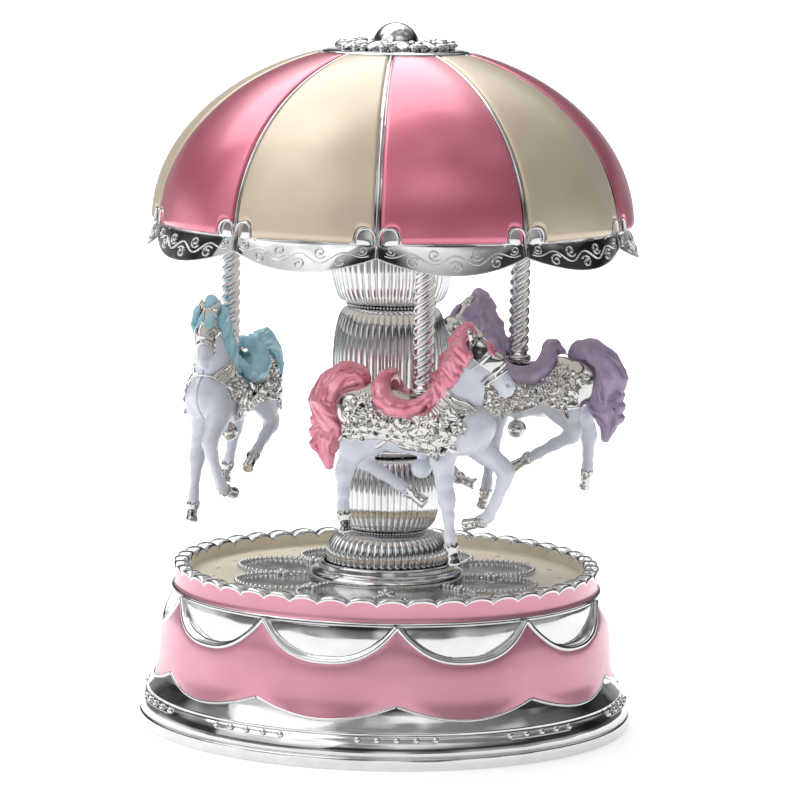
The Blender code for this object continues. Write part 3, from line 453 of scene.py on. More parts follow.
def foot_beads():
    beads, rails = [], []
    for group in range(CUSPS):
        middle = CUSP_START + group * TURN / CUSPS
        for k in range(FOOT_BEADS):
            x, y = directions(middle + (k - (FOOT_BEADS - 1) / 2) * FOOT_BEAD_STEP)
            beads.append(np.array([61.4 * x, 61.4 * y, 7.35]))
        span = middle + np.linspace(-0.5, 0.5, 25) * FOOT_BEAD_STEP * (FOOT_BEADS - 1)
        x, y = directions(span)
        for r, z in ((61.35, 7.75), (61.95, 6.65)):
            rails.append(np.stack([r * x, r * y, z + 0 * x], 1))
    beaded("foot_beads", balls(beads, FOOT_BEAD_R), CHROME)
    wires("foot_bead_rails", rails, 0.17)


# ---- The deck ----
def crown_height(angles):
    return CROWN_VALLEY + (CROWN_TOP - CROWN_VALLEY) * bulge(0.97 * per_bay(angles, CROWN_START, CROWN_LOBES))


def petal_reach(angles):
    """How far out the round petals reach: circles set round the axis, the first one's edge at the front."""
    away = np.radians(per_bay(angles, 0.0, PETALS) * TURN / PETALS / 2)
    aside = PETAL_CENTRE_R * np.sin(away)
    return PETAL_CENTRE_R * np.cos(away) + np.sqrt(PETAL_CIRCLE_R ** 2 - aside ** 2 * 0.9997)


def deck_tray():
    """The deck with its crown rim: pink outside up to the lobes, plated over them, and cream inside."""
    angles = CROWN_START + np.arange(CROWN_LOBES * 16) * TURN / (CROWN_LOBES * 16)
    top = crown_height(angles)
    lobe = (top - CROWN_VALLEY) / (CROWN_TOP - CROWN_VALLEY)
    flat = [(4.6, 34.5), (50.8, 34.5), (52.0, 31.9), (52.4, 31.9), (52.7, 34.45), (54.5, 34.45),
            (54.72, 34.5), (54.8, 34.68), (54.7, 34.84), (54.2, 34.9), (54.0, 35.05), (53.9, 36.0),
            (53.9, 37.2)]
    rows = list(flat)
    for share, out in ((0.45, 0.1), (0.75, 0.24), (0.9, 0.3)):
        rows.append((53.9 + out * lobe, 37.2 + (top - 0.85 - 37.2) * share))
    paint_rows = len(rows) - 1
    over = ((53.95, 0.36, 0.62), (53.85, 0.3, 0.3), (53.5, 0.15, 0.08), (53.0, 0, 0), (52.2, 0, 0.0),
            (51.4, 0, 0.03), (50.9, 0, 0.2), (50.65, -0.15, 0.5), (50.55, -0.2, 0.9))
    rows += [(r + out * lobe, top - drop) for r, out, drop in over]
    chrome_rows = len(rows) - 1
    floor = ((50.5, 37.3), (50.35, 37.05), (50.0, 36.75), (49.4, 36.62), (46.0, 36.6), (40.0, 36.6),
             (30.0, 36.6), (20.0, 36.6), (4.6, 36.55))
    rows += floor
    rows = np.array([(r + 0 * angles, z + 0 * angles) for r, z in rows])
    count = len(rows)
    pink, plated, cream = 0, 1, 2
    row_material = np.full(count, cream)
    row_material[:9] = plated
    row_material[9:paint_rows] = pink
    row_material[paint_rows:chrome_rows] = plated
    row_material[-1] = plated
    points = spun(rows[:, 0], rows[:, 1], angles)
    flat_points = points.reshape(-1, 3)
    quads = outward(flat_points, grid_quads(count, len(angles), True, True))
    materials = ([PINK_BASE, CHROME, CREAM_DECK], np.repeat(row_material, len(angles)))
    make("deck_tray", flat_points, quads, materials, slot="deck", replaces=["deck"], sharp=50)


def deck_petals():
    """The low plated petals. They round over at the rim and sink a little towards it."""
    fine = np.arange(960) * TURN / 960
    reach = petal_reach(fine) - 0.3
    share = np.linspace(0, 1, 16)[:, None]
    radius = 17.5 + (reach - 17.5) * share
    edge = np.clip((reach - radius) / 1.6, 0, 1)
    dish = 0.28 * np.clip((reach - radius) / 7, 0, 1)
    height = 36.75 + 0.32 * bulge(1 - edge) - dish
    low = spun(radius, DECK_Z, fine)[::-1]
    # The petals take the lighter copy of the chrome, whose raised tone is painted light.
    wrapped("deck_petals", np.concatenate([spun(radius, height, fine), low]), CHROME_DECK_PAINTED_LIGHT, sharp=50)


def deck_relief():
    """Chains of beads round the petals, a rosette where two petals meet, and faint dots on the cream."""
    beads, bars, domes = [], [], []
    for petal in range(PETALS):
        boundary = petal * TURN / PETALS
        around = boundary + np.linspace(0.012, 0.988, 400) * TURN / PETALS
        r = petal_reach(around) + 0.1
        x, y = directions(around)
        path = np.stack([r * x, r * y, 37.1 + 0 * r], 1)
        bars.append(path)
        length = np.concatenate([[0], np.cumsum(np.linalg.norm(np.diff(path, axis=0), axis=1))])
        at = np.linspace(0, length[-1], int(length[-1] / BEAD_PITCH) + 1)
        beads += list(np.stack([np.interp(at, length, path[:, k]) for k in range(3)], 1))
        x, y = directions(boundary)
        beads += [np.array([r * x, r * y, 37.1]) for r in np.arange(20.8, 24.6, BEAD_PITCH)]
        hub = np.array([PETAL_WAIST_R * x, PETAL_WAIST_R * y, 37.25])
        spokes = math.tau * np.arange(6) / 6
        domes += [(hub + 1.45 * np.array([math.cos(a), math.sin(a), -0.05]), np.eye(3) * 0.8) for a in spokes]
        domes.append((hub + np.array([0, 0, 0.35]), np.eye(3) * 0.9))
    beaded("deck_bead_chains", blobs([(centre, np.diag([0.6, 0.6, 0.85])) for centre in beads]), CHROME)
    wires("deck_bead_backs", bars, 0.3)
    beaded("deck_rosettes", blobs(domes), CHROME)
    x, y = DOT_CIRCLE_R * np.array(directions(np.arange(DECK_DOTS) * TURN / DECK_DOTS + 4.0))
    dots = [(np.array([u, v, DECK_Z]), np.diag([0.85, 0.85, 0.55])) for u, v in zip(x, y)]
    beaded("deck_relief_dots", blobs(dots), CREAM_DECK)


def deck_collar():
    collar = [(16.0, 41.0), (16.7, 41.2), (17.2, 40.8), (17.35, 39.4), (18.0, 39.1), (19.2, 38.8),
              (19.7, 38.0), (19.85, 36.8), (16.0, 36.8)]
    revolve("collar_ring", rounded(collar, 0.35, 4), CHROME, 200, replaces=["deck_collar"], sharp=60)


# ---- The column ----
def swell(low_z, high_z, low_r, middle_r, high_r, peak=0.5, count=26):
    """Points down a rounded barrel, widest at the share peak of its height from below."""
    t = np.linspace(1, 0, count)
    end = np.where(t > peak, high_r, low_r)
    span = np.where(t > peak, 1 - peak, peak)
    return np.stack([end + (middle_r - end) * bulge((t - peak) / span, 2.2), low_z + (high_z - low_z) * t], 1)


def reeded(name, outer, inner, node, top_fade=1.2, low_fade=1.2):
    """A vase whose outer side carries rounded upright reeds that fade out near its ends."""
    angles = np.arange(REEDS * 10) * TURN / (REEDS * 10)
    reed = 1 - bulge(0.96 * per_bay(angles, 0, REEDS))
    outer, inner = np.asarray(outer), np.asarray(inner)
    z = outer[:, 1]
    fade = np.clip((z.max() - z) / top_fade, 0, 1) * np.clip((z - z.min()) / low_fade, 0, 1)
    narrow = np.clip(outer[:, 0] / 14.0, 0.6, 1)
    radius = outer[:, :1] - REED_DEPTH * (fade * narrow)[:, None] * reed
    outside = spun(radius, outer[:, 1:], angles)
    inside = spun(inner[:, :1], inner[:, 1:], angles)
    wrapped(name, np.concatenate([outside, inside]), CHROME, body="carousel", replaces=[node], sharp=70)


def hollow(outer):
    return [(r - 1.4, z) for r, z in outer[::-4]]


def column():
    bowl = swell(38.4, 49.0, 14.2, 15.4, 9.9, 0.42, 22)
    hub = [(2.0, 38.4), (2.0, 43.4), (4.5, 43.4), (5.0, 39.8), (11, 39.8), (13.4, 43), (8.4, 49)]
    reeded("bowl_reeded", bowl, hub, "column_bowl", 1.6, 1.0)
    lower = swell(49.6, 68.5, 9.8, 13.4, 9.7, 0.48, 30)
    reeded("lower_vase_reeded", lower, hollow(lower), "column_lower_vase")
    upper = swell(72.0, 106.4, 9.9, 14.6, 11.0, 0.6, 40)
    reeded("upper_vase_reeded", upper, hollow(upper), "column_upper_vase")
    cup = swell(107.2, 125.0, 11.2, 15.4, 15.0, 0.62, 26)
    reeded("capital_reeded", cup, [(1.9, 107.2), (1.9, 125.0)], "column_capital", 0.8, 1.4)

    ring = [(9.4, 71.7), (10.4, 71.6), (11.3, 70.9), (11.5, 70.3), (11.3, 69.7), (10.4, 69.0), (9.4, 68.9),
            (1.9, 68.9), (1.9, 71.8)]
    revolve("waist_ring", rounded(ring, 0.3, 3), CHROME, 160,
            body="carousel", replaces=["column_ring"], sharp=60)
    beads = []
    for radius, z, count in ((9.9, 49.25, 80), (11.15, 106.85, 80)):
        x, y = directions(np.arange(count) * TURN / count)
        beads += list(np.stack([radius * x, radius * y, z + 0 * x], 1))
    beaded("column_bead_rings", balls(beads, 0.33), CHROME, body="carousel")


# ---- The canopy ----
def dome(a):
    """Radius and height on the dome at the angle a, in radians, down from its top."""
    return DOME_R * np.sin(a), DOME_Z + DOME_RISE * np.cos(a)


def rib_share(angles):
    """0 over a rib and 1 in the middle of a panel."""
    return np.abs(np.sin(np.radians(np.asarray(angles) - RIB_START) * PANELS / 2))


DOME_FIRST = math.asin(DOME_TOP_R / DOME_R)


def shell_point(a, angles, lift=0.0):
    """Points on the gored dome: sunk a little towards each rib, then lifted out by lift."""
    r, z = dome(a)
    sink = 0.8 * (1 - rib_share(angles)) * r / DOME_R
    out_r, out_z = np.sin(a) / DOME_R, np.cos(a) / DOME_RISE
    norm = np.sqrt(out_r ** 2 + out_z ** 2)
    x, y = directions(angles)
    radius = r - sink + lift * out_r / norm
    return np.stack([radius * x, radius * y, z - 0.4 * sink + lift * out_z / norm], -1)


def skirt_edge(angles):
    """The height of the skirt's scalloped edge."""
    return SKIRT_CUSP - (SKIRT_CUSP - SKIRT_LOW) * rib_share(angles) ** 0.9


def skirt_point(angles, share, lift=0.0):
    """Points down the skirt: share is 0 at its top and 1 at its scalloped edge."""
    angles = np.asarray(angles)
    x, y = directions(angles)
    edge = skirt_edge(angles)
    z = SKIRT_TOP + (edge - SKIRT_TOP) * share
    r = DOME_R - 0.9 + (0.7 + 2.1 * rib_share(angles)) * share ** 0.8 + lift
    return np.stack([r * x, r * y, z], -1)


def panel(index):
    """(points, quads) of one padded gore, notched beside its two ribs for the niches."""
    first = RIB_START + index * PANEL
    half = math.radians(PANEL / 2)
    side = half * DOME_R
    arch = np.linspace(NICHE_S - NICHE_W, NICHE_S + NICHE_W, 17)
    across = np.concatenate([[0.0], arch, np.linspace(NICHE_S + NICHE_W, side, 26)[1:]])
    u = np.concatenate([across / side - 1, 1 - across[-2::-1] / side])
    v = np.linspace(0, 1, 61)[:, None]
    margin = 0.55 + 0.3 * v
    from_rib = side * (1 - np.abs(u))
    over_niche = 1 - np.abs((from_rib - NICHE_S) / NICHE_W) ** NICHE_POWER
    notch = NICHE_H * np.clip(over_niche, 0, 1) ** (1 / NICHE_POWER)
    a = DOME_FIRST + 0.018 + (math.pi / 2 - DOME_FIRST - 0.022 - notch / DOME_RISE) * v
    r, _ = dome(a)
    angles = first + PANEL / 2 + np.degrees((half - margin / r) * u)
    side = (half * r - margin) * (1 - np.abs(u))
    below = (1 - v) * (math.pi / 2 - DOME_FIRST) * 52.0
    above = v * (math.pi / 2 - DOME_FIRST) * 52.0
    edge = np.minimum(np.minimum(side, below), above)
    lift = 0.1 + 0.62 * bulge(1 - np.clip(edge, 0, 1))
    return slab(shell_point(a, angles, lift), shell_point(a, angles, -0.35 + 0 * lift))


def every_other_panel(name, first, material):
    points, quads = [], []
    for i in range(first, PANELS, 2):
        p, q = panel(i)
        quads.append(outward(p, q) + sum(len(x) for x in points))
        points.append(p)
    points, quads = np.concatenate(points), np.concatenate(quads)
    make(name, points, quads, material, body="carousel", slot="canopy", sharp=60)


def canopy_frame():
    """The plated shell: over the dome, down the skirt, and back up inside both."""
    angles = RIB_START + np.arange(720) * TURN / 720
    quarter = math.pi / 2
    rows = [shell_point(0 * angles + 0.04, angles, -0.2)]
    rows += [shell_point(a + 0 * angles, angles, -0.15) for a in np.linspace(DOME_FIRST - 0.02, quarter, 40)]
    rows += [skirt_point(angles, s) for s in np.linspace(0.02, 1, 9)]
    edge_row = skirt_point(angles, 1.0, -0.55)
    edge_row[..., 2] -= 0.1
    rows.append(edge_row)
    rows += [skirt_point(angles, s, -1.1) for s in np.linspace(0.98, 0.0, 5)]
    rows += [shell_point(a + 0 * angles, angles, -1.6) for a in np.linspace(quarter - 0.02, 0.05, 24)]
    wrapped("canopy_frame", np.array(rows), CHROME, body="carousel", replaces=["canopy_shell"], sharp=50)


def canopy_ribs():
    """A rib between each two panels, and the rims of the niches beside its foot."""
    ribs, arches = [], []
    v = np.linspace(0, 1, 60)
    a = DOME_FIRST - 0.01 + (math.pi / 2 - DOME_FIRST + 0.01) * v
    turn = np.linspace(0, math.pi, 25)
    across = NICHE_S - NICHE_W * np.sign(np.cos(turn)) * np.abs(np.cos(turn)) ** (2 / NICHE_POWER)
    arch = math.pi / 2 - 0.004 - NICHE_H * np.sin(turn) ** (2 / NICHE_POWER) / DOME_RISE
    for i in range(PANELS):
        foot = RIB_START + i * PANEL
        up = shell_point(a, foot + 0 * a, 0.12 + 0.1 * v)
        down = skirt_point(np.full(5, foot), np.linspace(0.2, 1.0, 5), 0.45)
        ribs.append(np.concatenate([up, down]))
        arches += [shell_point(arch, foot + side * np.degrees(across / DOME_R), 0.42) for side in (-1, 1)]
    wires("canopy_ribs", ribs, 0.42, body="carousel", sides=4)
    wires("canopy_niche_rims", arches, 0.36, body="carousel")


def skirt_trim():
    """The skirt's hem, and on each panel's share of it a waving stem with curls."""
    lines = [skirt_point(np.linspace(0, TURN, 720, endpoint=False), 0.985, 0.12)]
    wires("skirt_hem", lines, 0.16, body="carousel", cyclic=True)
    filigree, tips = [], []
    for i in range(PANELS):
        foot = RIB_START + i * PANEL
        s = np.linspace(0.05, 0.95, 60)
        stem = 0.5 + 0.17 * np.sin(s * math.tau * 3.5)
        filigree.append(skirt_point(foot + s * PANEL, stem, 0.16))
        for k in range(SCROLLS):
            middle = foot + (0.09 + 0.137 * k) * PANEL
            drop = SKIRT_TOP - float(skirt_edge(middle))
            up = -1 if k % 2 else 1
            size = min(1.5, 0.27 * drop) * (1 - 0.72 * np.linspace(0, 1, 26))
            sweep = 0.6 + np.linspace(0, 1, 26) * math.tau * 1.15
            along = np.degrees(size * np.cos(sweep) * (1 if k % 3 else -1) * 1.15 / DOME_R)
            across = 0.5 - up * 0.2 + up * size * np.sin(sweep) / drop
            curl = skirt_point(middle + along, np.clip(across, 0.06, 0.92), 0.16)
            filigree.append(curl)
            tips.append(curl[-1])
    wires("skirt_filigree", filigree, 0.17, body="carousel", sides=2)
    beaded("skirt_filigree_tips", balls(tips, 0.34), CHROME, body="carousel")


def crown():
    """The plate on top of the canopy and its ring of leaves, buds and curls."""
    plate = rounded([(6.6, 170.6), (6.6, 171.3), (16.8, 171.3), (18.6, 170.9), (18.9, 170.4), (18.2, 169.9),
                     (6.6, 169.9)], 0.25, 3)
    revolve("canopy_top_plate", plate, CHROME, 160, body="carousel", sharp=50)
    leaves = []
    for k in range(LEAVES):
        turn = k * TURN / LEAVES + 8
        x, y = directions(turn)
        out, side, up = np.array([x, y, 0]), np.array([-y, x, 0]), np.array([0, 0, 1.0])
        tip = (out * 0.95 - up * 0.3)
        leaves.append((out * 12.6 + up * 172.7, [tip * 3.0, side * 1.9, np.cross(tip, side) * 0.75]))
        leaves.append((out * 10.2 + up * 173.0, [out * 1.3, side * 2.7, up * 0.8]))
        for lean in (-1, 1):
            x2, y2 = directions(turn + lean * 11)
            leaves.append((np.array([x2 * 13.6, y2 * 13.6, 172.0]), [out * 1.5, side * 1.3, up * 1.1]))
        x3, y3 = directions(turn + 16.4)
        leaves.append((np.array([x3 * 9.6, y3 * 9.6, 172.6]), np.eye(3) * 1.25))
    beaded("crown_leaves", blobs(leaves, 3), CHROME, body="carousel", replaces=["canopy_crown"])
    curls = []
    for k in range(LEAVES):
        turn = np.linspace(0, 1, 24)
        size = 2.0 - 1.5 * turn
        sweep = turn * math.tau * 1.2 + k
        x, y = directions(k * TURN / LEAVES + 24 + np.degrees(size * np.cos(sweep) / 14))
        r = 14.0 + size * np.sin(sweep) * 0.7
        curls.append(np.stack([r * x, r * y, 172.4 + 0.9 * turn], 1))
    wires("crown_curls", curls, 0.5, body="carousel")


def finial():
    rise = np.radians(np.linspace(90, -62, 40))
    ball = [(BALL_R * math.cos(t), TOP_Z - BALL_R + BALL_R * math.sin(t)) for t in rise]
    ball += [(2.8, 170.3), (0, 170.3)]
    revolve("finial", ball, CHROME, 96, False, body="carousel", replaces=["finial_ball"], sharp=60)


# ---- Poles ----
def pole(colour, around):
    """A twisted pole of four strands, with its collar, its hidden rod and the ball nut under the belly."""
    x0, y0 = directions(around)
    x0, y0 = POLE_CIRCLE_R * x0, POLE_CIRCLE_R * y0
    low, high = 92.3, 124.6
    z = np.linspace(low, high, 170)
    a = np.arange(48) * math.tau / 48
    twist = 2 * (a[None, :] - math.tau * z[:, None] / POLE_LEAD)
    fade = np.clip((z - low) / 0.8, 0, 1)[:, None]
    radius = 2.7 - 0.85 * np.abs(np.sin(twist)) ** 2.2 * fade
    collar = [(0.01, 89.4), (3.0, 89.4), (3.3, 89.8), (3.3, 90.6), (3.0, 91.0), (2.5, 91.1), (2.5, 91.7),
              (2.62, 92.0)]
    r = np.concatenate([[np.full(48, p[0]) for p in collar], radius, [np.full(48, 2.0), np.full(48, 0.01)]])
    h = np.concatenate([[p[1] for p in collar], z, [125.0, 131.5]])[:, None] + 0 * a
    h[-2] = 125.0
    points = np.stack([x0 + r * np.cos(a), y0 + r * np.sin(a), h], -1)
    node = f"{colour}_horse_pole"
    wrapped(f"{colour}_pole_twist", points, CHROME, False, body="carousel", replaces=[node], sharp=60)
    rise = np.radians(np.linspace(-88, 66, 30))
    ball = [(2.5 * math.cos(t), 71.4 + 2.5 * math.sin(t)) for t in rise]
    profile = np.array(ball + [(1.3, 74.6), (1.3, 89.6)])
    r, h = profile[:, :1] + 0 * a, profile[:, 1:] + 0 * a
    material = PEARL if colour == "pink" else CHROME_SOFT
    points = np.stack([x0 + r * np.cos(a), y0 + r * np.sin(a), h], -1)
    wrapped(f"{colour}_pole_ball", points, material, False, body="carousel", slot="horse", sharp=60)


# ---- Horses, modelled as solid clay ----
FAR = 4.0
CELL = 0.27


class Clay:
    """Signed distances, in millimetres, on a grid of cells: negative inside. Shapes melt into each other."""

    def __init__(self, low, high, cell=CELL):
        self.low, self.cell = np.array(low, float), cell
        self.shape = np.ceil((np.array(high) - low) / cell).astype(int) + 1
        self.d = np.full(self.shape, FAR, np.float32)

    def like(self):
        return Clay(self.low, self.low + (self.shape - 1) * self.cell, self.cell)

    def window(self, low, high):
        """The slices of the cells inside a box, and their coordinates."""
        first = np.clip(((low - self.low) / self.cell).astype(int), 0, self.shape - 2)
        last = np.clip(((high - self.low) / self.cell).astype(int) + 2, first + 1, self.shape)
        axes = [(self.low[k] + self.cell * np.arange(first[k], last[k])).astype(np.float32) for k in range(3)]
        return tuple(slice(a, b) for a, b in zip(first, last)), np.meshgrid(*axes, indexing="ij", sparse=True)

    def everywhere(self):
        return self.window(self.low, self.low + self.shape * self.cell)[1]

    def melt(self, where, other, blend):
        here = self.d[where]
        share = np.clip(0.5 + 0.5 * (here - other) / blend, 0, 1)
        self.d[where] = here + (other - here) * share - blend * share * (1 - share)

    def carve(self, where, other, blend):
        here = self.d[where]
        share = np.clip(0.5 - 0.5 * (here + other) / blend, 0, 1)
        self.d[where] = here + (-other - here) * share + blend * share * (1 - share)

    def melt_all(self, other):
        self.melt(slice(None), other.astype(np.float32), 0.2)

    def chain(self, stations, blend=0.8, flat=1.0):
        """Tapering round limbs through (x, y, z, radius) stations. flat squeezes them in y."""
        stations = np.array(stations, float)
        for a, b in zip(stations, stations[1:]):
            reach = max(a[3], b[3]) + FAR
            where, (x, y, z) = self.window(np.minimum(a, b)[:3] - reach, np.maximum(a, b)[:3] + reach)
            along = (b - a)[:3]
            squeeze = 1 / flat
            dx, dy, dz = x - a[0], (y - a[1]) * squeeze, z - a[2]
            step = np.array([along[0], along[1] * squeeze, along[2]])
            t = np.clip((dx * step[0] + dy * step[1] + dz * step[2]) / max(step @ step, 1e-9), 0, 1)
            away = np.sqrt((dx - t * step[0]) ** 2 + (dy - t * step[1]) ** 2 + (dz - t * step[2]) ** 2)
            self.melt(where, away - (a[3] + t * (b[3] - a[3])), blend)
        return self

    def lump(self, centre, axes, blend=0.5, carve=False):
        """An ellipsoid: its centre, and its three half-axes as rows, or three lengths along X, Y and Z."""
        centre, axes = np.array(centre, float), np.array(axes, float)
        axes = np.diag(axes) if axes.ndim == 1 else axes
        lengths = np.linalg.norm(axes, axis=1)
        reach = lengths.max() + blend + 1.0
        where, (x, y, z) = self.window(centre - reach, centre + reach)
        scaled = [(x - centre[0]) * e[0] + (y - centre[1]) * e[1] + (z - centre[2]) * e[2]
                  for e in axes / lengths[:, None] ** 2]
        ratio = np.sqrt(scaled[0] ** 2 + scaled[1] ** 2 + scaled[2] ** 2)
        distance = (ratio - 1) * lengths.min() * np.clip(0.4 + 0.6 * ratio, 0.4, 2)
        (self.carve if carve else self.melt)(where, distance, blend)
        return self

    def mesh(self, name):
        grid = openvdb.FloatGrid(FAR)
        grid.copyFromArray(np.ascontiguousarray(self.d))
        points, quads = grid.convertToQuads(isovalue=0.0)
        points = np.asarray(points, float) * self.cell + self.low
        quads = outward(points, np.asarray(quads, np.int64))
        made = bpy.data.meshes.new(name)
        made.from_pydata((points * MM).tolist(), [], quads.tolist())
        made.shade_smooth()
        return made

    def surface(self, x, z, side):
        """The point on the skin at (x, z) on one side of the middle, with its normal, or None."""
        i, k = int(round((x - self.low[0]) / self.cell)), int(round((z - self.low[2]) / self.cell))
        column = self.d[i, :, k]
        inside = np.nonzero(column < 0)[0]
        if not len(inside):
            return None
        j = inside[-1] if side > 0 else inside[0]
        d = self.d
        normal = np.array([d[i + 2, j, k] - d[i - 2, j, k], d[i, j + 2, k] - d[i, j - 2, k],
                           d[i, j, k + 2] - d[i, j, k - 2]], float)
        point = self.low + self.cell * np.array([i, j, k])
        return point, normal / max(np.linalg.norm(normal), 1e-6)


# Stations of (x, y, z, radius) along each limb. The horse faces +X with its pole on Z.
TRUNK = ((14.4, 0, 82.6, 4.4), (11.0, 0, 82.2, 6.6), (6.5, 0, 82.4, 7.3), (0, 0, 81.4, 6.7),
         (-7, 0, 82.2, 6.9), (-13, 0, 84.0, 7.5), (-17.0, 0, 84.8, 5.8))
NECK = ((7.0, 0, 85.5, 6.2), (9.6, 0, 91, 5.4), (11.6, 0.1, 96.5, 4.6), (12.6, 0.3, 101, 3.5))
HEAD = ((12.0, 0.3, 102.6, 2.5), (13.4, 0.6, 100.8, 3.1), (15.4, 1.1, 98.4, 3.0), (17.6, 1.8, 95.8, 2.4),
        (19.4, 2.4, 93.6, 2.1), (20.5, 2.7, 92.3, 2.15))
FORE_RIGHT = ((7.0, -3.0, 79.5, 4.2), (6.8, -4.2, 74.5, 3.0), (7.6, -4.6, 69.0, 2.1), (8.1, -4.7, 66.2, 1.95),
              (8.5, -4.8, 64.4, 1.9), (8.9, -4.9, 61.0, 1.35), (9.4, -5.0, 56.0, 1.3), (9.9, -5.0, 53.2, 1.6))
FORE_LEFT = ((10.4, 3.0, 79.5, 4.2), (15.2, 3.9, 75.6, 2.9), (19.2, 4.4, 72.6, 2.1), (20.3, 4.5, 71.2, 2.0),
             (19.6, 4.7, 68.6, 1.7), (17.6, 5.2, 63.6, 1.35), (15.6, 5.6, 59.8, 1.4), (14.0, 5.8, 58.6, 1.5))
HIND_RIGHT = ((-12.4, -3.0, 82.0, 5.2), (-15.8, -4.8, 76.2, 3.5), (-17.4, -6.0, 71.6, 2.2),
              (-17.7, -6.5, 69.6, 2.0), (-17.5, -7.2, 65.0, 1.4), (-17.3, -7.7, 61.6, 1.35),
              (-17.0, -8.0, 59.8, 1.5))
HIND_LEFT = ((-12.0, 3.0, 82.0, 5.2), (-14.8, 4.0, 76.8, 3.4), (-16.6, 4.5, 73.0, 2.2),
             (-16.3, 4.6, 71.2, 1.95), (-12.0, 4.7, 68.8, 1.5), (-7.6, 4.9, 66.2, 1.3),
             (-4.8, 5.0, 64.6, 1.3))
# Each foot: the fetlock, the middle of the hoof and the middle of its sole.
FEET = (((9.9, -5.0, 53.0), (10.3, -5.0, 51.0), (10.7, -5.0, 48.9)),
        ((13.4, 5.9, 58.3), (11.4, 6.1, 57.6), (9.0, 6.3, 57.0)),
        ((-17.0, -8.0, 59.6), (-16.7, -8.2, 57.6), (-16.4, -8.4, 55.4)),
        ((-4.4, 5.0, 64.4), (-2.6, 5.1, 63.2), (-0.6, 5.2, 61.9)))
TAIL = ((-15.2, 0, 91.6, 1.7), (-16.8, 0, 93.2, 2.4), (-20.2, 0, 93.2, 2.9), (-23.8, 0, 90.3, 3.2),
        (-25.4, 0, 86.4, 3.7), (-23.8, 0, 82.9, 3.5), (-22.2, 0, 80.4, 3.1), (-24.2, 0, 77.3, 3.0),
        (-24.8, 0, 73.6, 1.9), (-24.0, 0, 69.9, 0.8))
HORSE_LOW, HORSE_HIGH = (-22.5, -11.0, 47.0), (25.0, 11.0, 108.5)


def horse_body():
    """The painted moulding: trunk, neck, head and legs, with muscles, joints and the face's features."""
    clay = Clay(HORSE_LOW, HORSE_HIGH)
    clay.chain(TRUNK, 1.6, 0.82)
    clay.chain(NECK, 2.2, 0.72)
    clay.chain(HEAD, 1.2, 0.74)
    clay.lump((13.9, 0.7, 98.9), (3.1, 2.5, 2.8), 1.2)
    clay.lump((16.2, 1.2, 98.8), (3.6, 1.7, 1.6), 1.0)
    for limb in (FORE_RIGHT, FORE_LEFT, HIND_RIGHT, HIND_LEFT):
        clay.chain(limb, 1.0, 0.9)
    for side in (-1, 1):
        clay.lump((13.4, 2.7 * side, 80.6), (3.2, 2.9, 4.4), 1.2)
        clay.lump((8.2, 4.2 * side, 81.0), (4.6, 2.6, 5.6), 1.4)
        clay.lump((-12.8, 3.9 * side, 80.8), (5.2, 2.9, 6.6), 1.4)
        clay.lump((13.0, 1.6 * side + 0.4, 104.4), (0.9, 0.7, 1.2), 0.3)
    for knee in ((8.2, -4.8, 65.4), (20.0, 4.5, 71.2), (-17.9, -6.5, 70.0), (-16.9, 4.6, 72.0)):
        clay.lump(knee, (1.9, 1.75, 2.1), 0.8)
    for side in (-1, 1):
        clay.lump((21.5 + 0.3 * side, 2.85 + 1.3 * side, 93.0), (0.7, 0.45, 0.55), 0.3, carve=True)
        clay.lump((20.3, 2.6 + 1.75 * side, 91.1), (1.5, 0.25, 0.25), 0.25, carve=True)
    clay.lump((20.0, 2.6, 90.8), (1.4, 1.3, 1.0), 0.8)
    x, y, z = clay.everywhere()
    seam = np.where(x > 6, np.abs(y) - 0.16, FAR).astype(np.float32) + 0 * z
    front = np.clip(0.4 - np.abs(clay.d + 0.2), -FAR, FAR)
    groove = np.maximum(seam, -front)
    clay.carve(slice(None), np.where((z < 90) & (z > 74), groove, FAR).astype(np.float32), 0.2)
    return clay


def smooth_max(a, b, blend):
    share = np.clip(0.5 - 0.5 * (a - b) / blend, 0, 1)
    return a + (b - a) * share + blend * share * (1 - share)


def blade(clay, point, normal, spin, size, lean, reach, lift, halves):
    """A leaf-shaped lump that lies on the skin and points along spin. lean is (along, up) of its tip."""
    across = np.cross(normal, (0.3, 0.1, 1.0))
    across /= np.linalg.norm(across)
    out = across * math.cos(spin) + np.cross(normal, across) * math.sin(spin)
    side = np.cross(normal, out)
    tip = out * lean[0] + normal * lean[1]
    axes = [tip * size * halves[0], side * size * halves[1], np.cross(tip, side) * halves[2]]
    clay.lump(point + out * size * reach + normal * lift, axes, 0.12)


def flower(clay, point, normal, size, spin):
    """Five petals round a button, standing on the skin."""
    for k in range(5):
        blade(clay, point, normal, spin + k * math.tau / 5, size, (0.9, 0.35), 0.62, 0.35, (0.6, 0.4, 0.32))
    clay.lump(point + normal * 0.55, np.full(3, size * 0.28), 0.1)


def leaf(clay, point, normal, size, spin):
    blade(clay, point, normal, spin, size, (1.0, 0.22), 0.5, 0.15, (0.8, 0.3, 0.36))


# Flowers on each flank: (x, z, size). The cloth's lower hem: its x stations and heights.
FLOWERS = ((8.6, 79.2, 3.0), (4.6, 80.4, 2.3), (11.6, 82.6, 1.8), (1.2, 78.6, 2.0), (-2.4, 79.6, 1.9),
           (-5.8, 80.8, 2.2), (-9.4, 81.8, 2.3), (-13.0, 80.2, 2.1), (-16.2, 81.4, 2.1), (-12.4, 85.2, 2.6),
           (-16.0, 86.2, 2.2), (-9.0, 85.6, 1.7), (7.6, 84.2, 1.9), (3.2, 84.0, 1.6), (-13.6, 88.4, 1.8),
           (5.4, 76.8, 1.8))
HEM_X = (-22, -19, -15.5, -11.5, -7.7, -4.0, -0.5, 3.5, 6.5, 9.5, 12.5, 16)
HEM_Z = (80, 78.6, 78.0, 78.6, 78.6, 77.0, 76.0, 75.6, 76.2, 80.6, 84.6, 87.8)
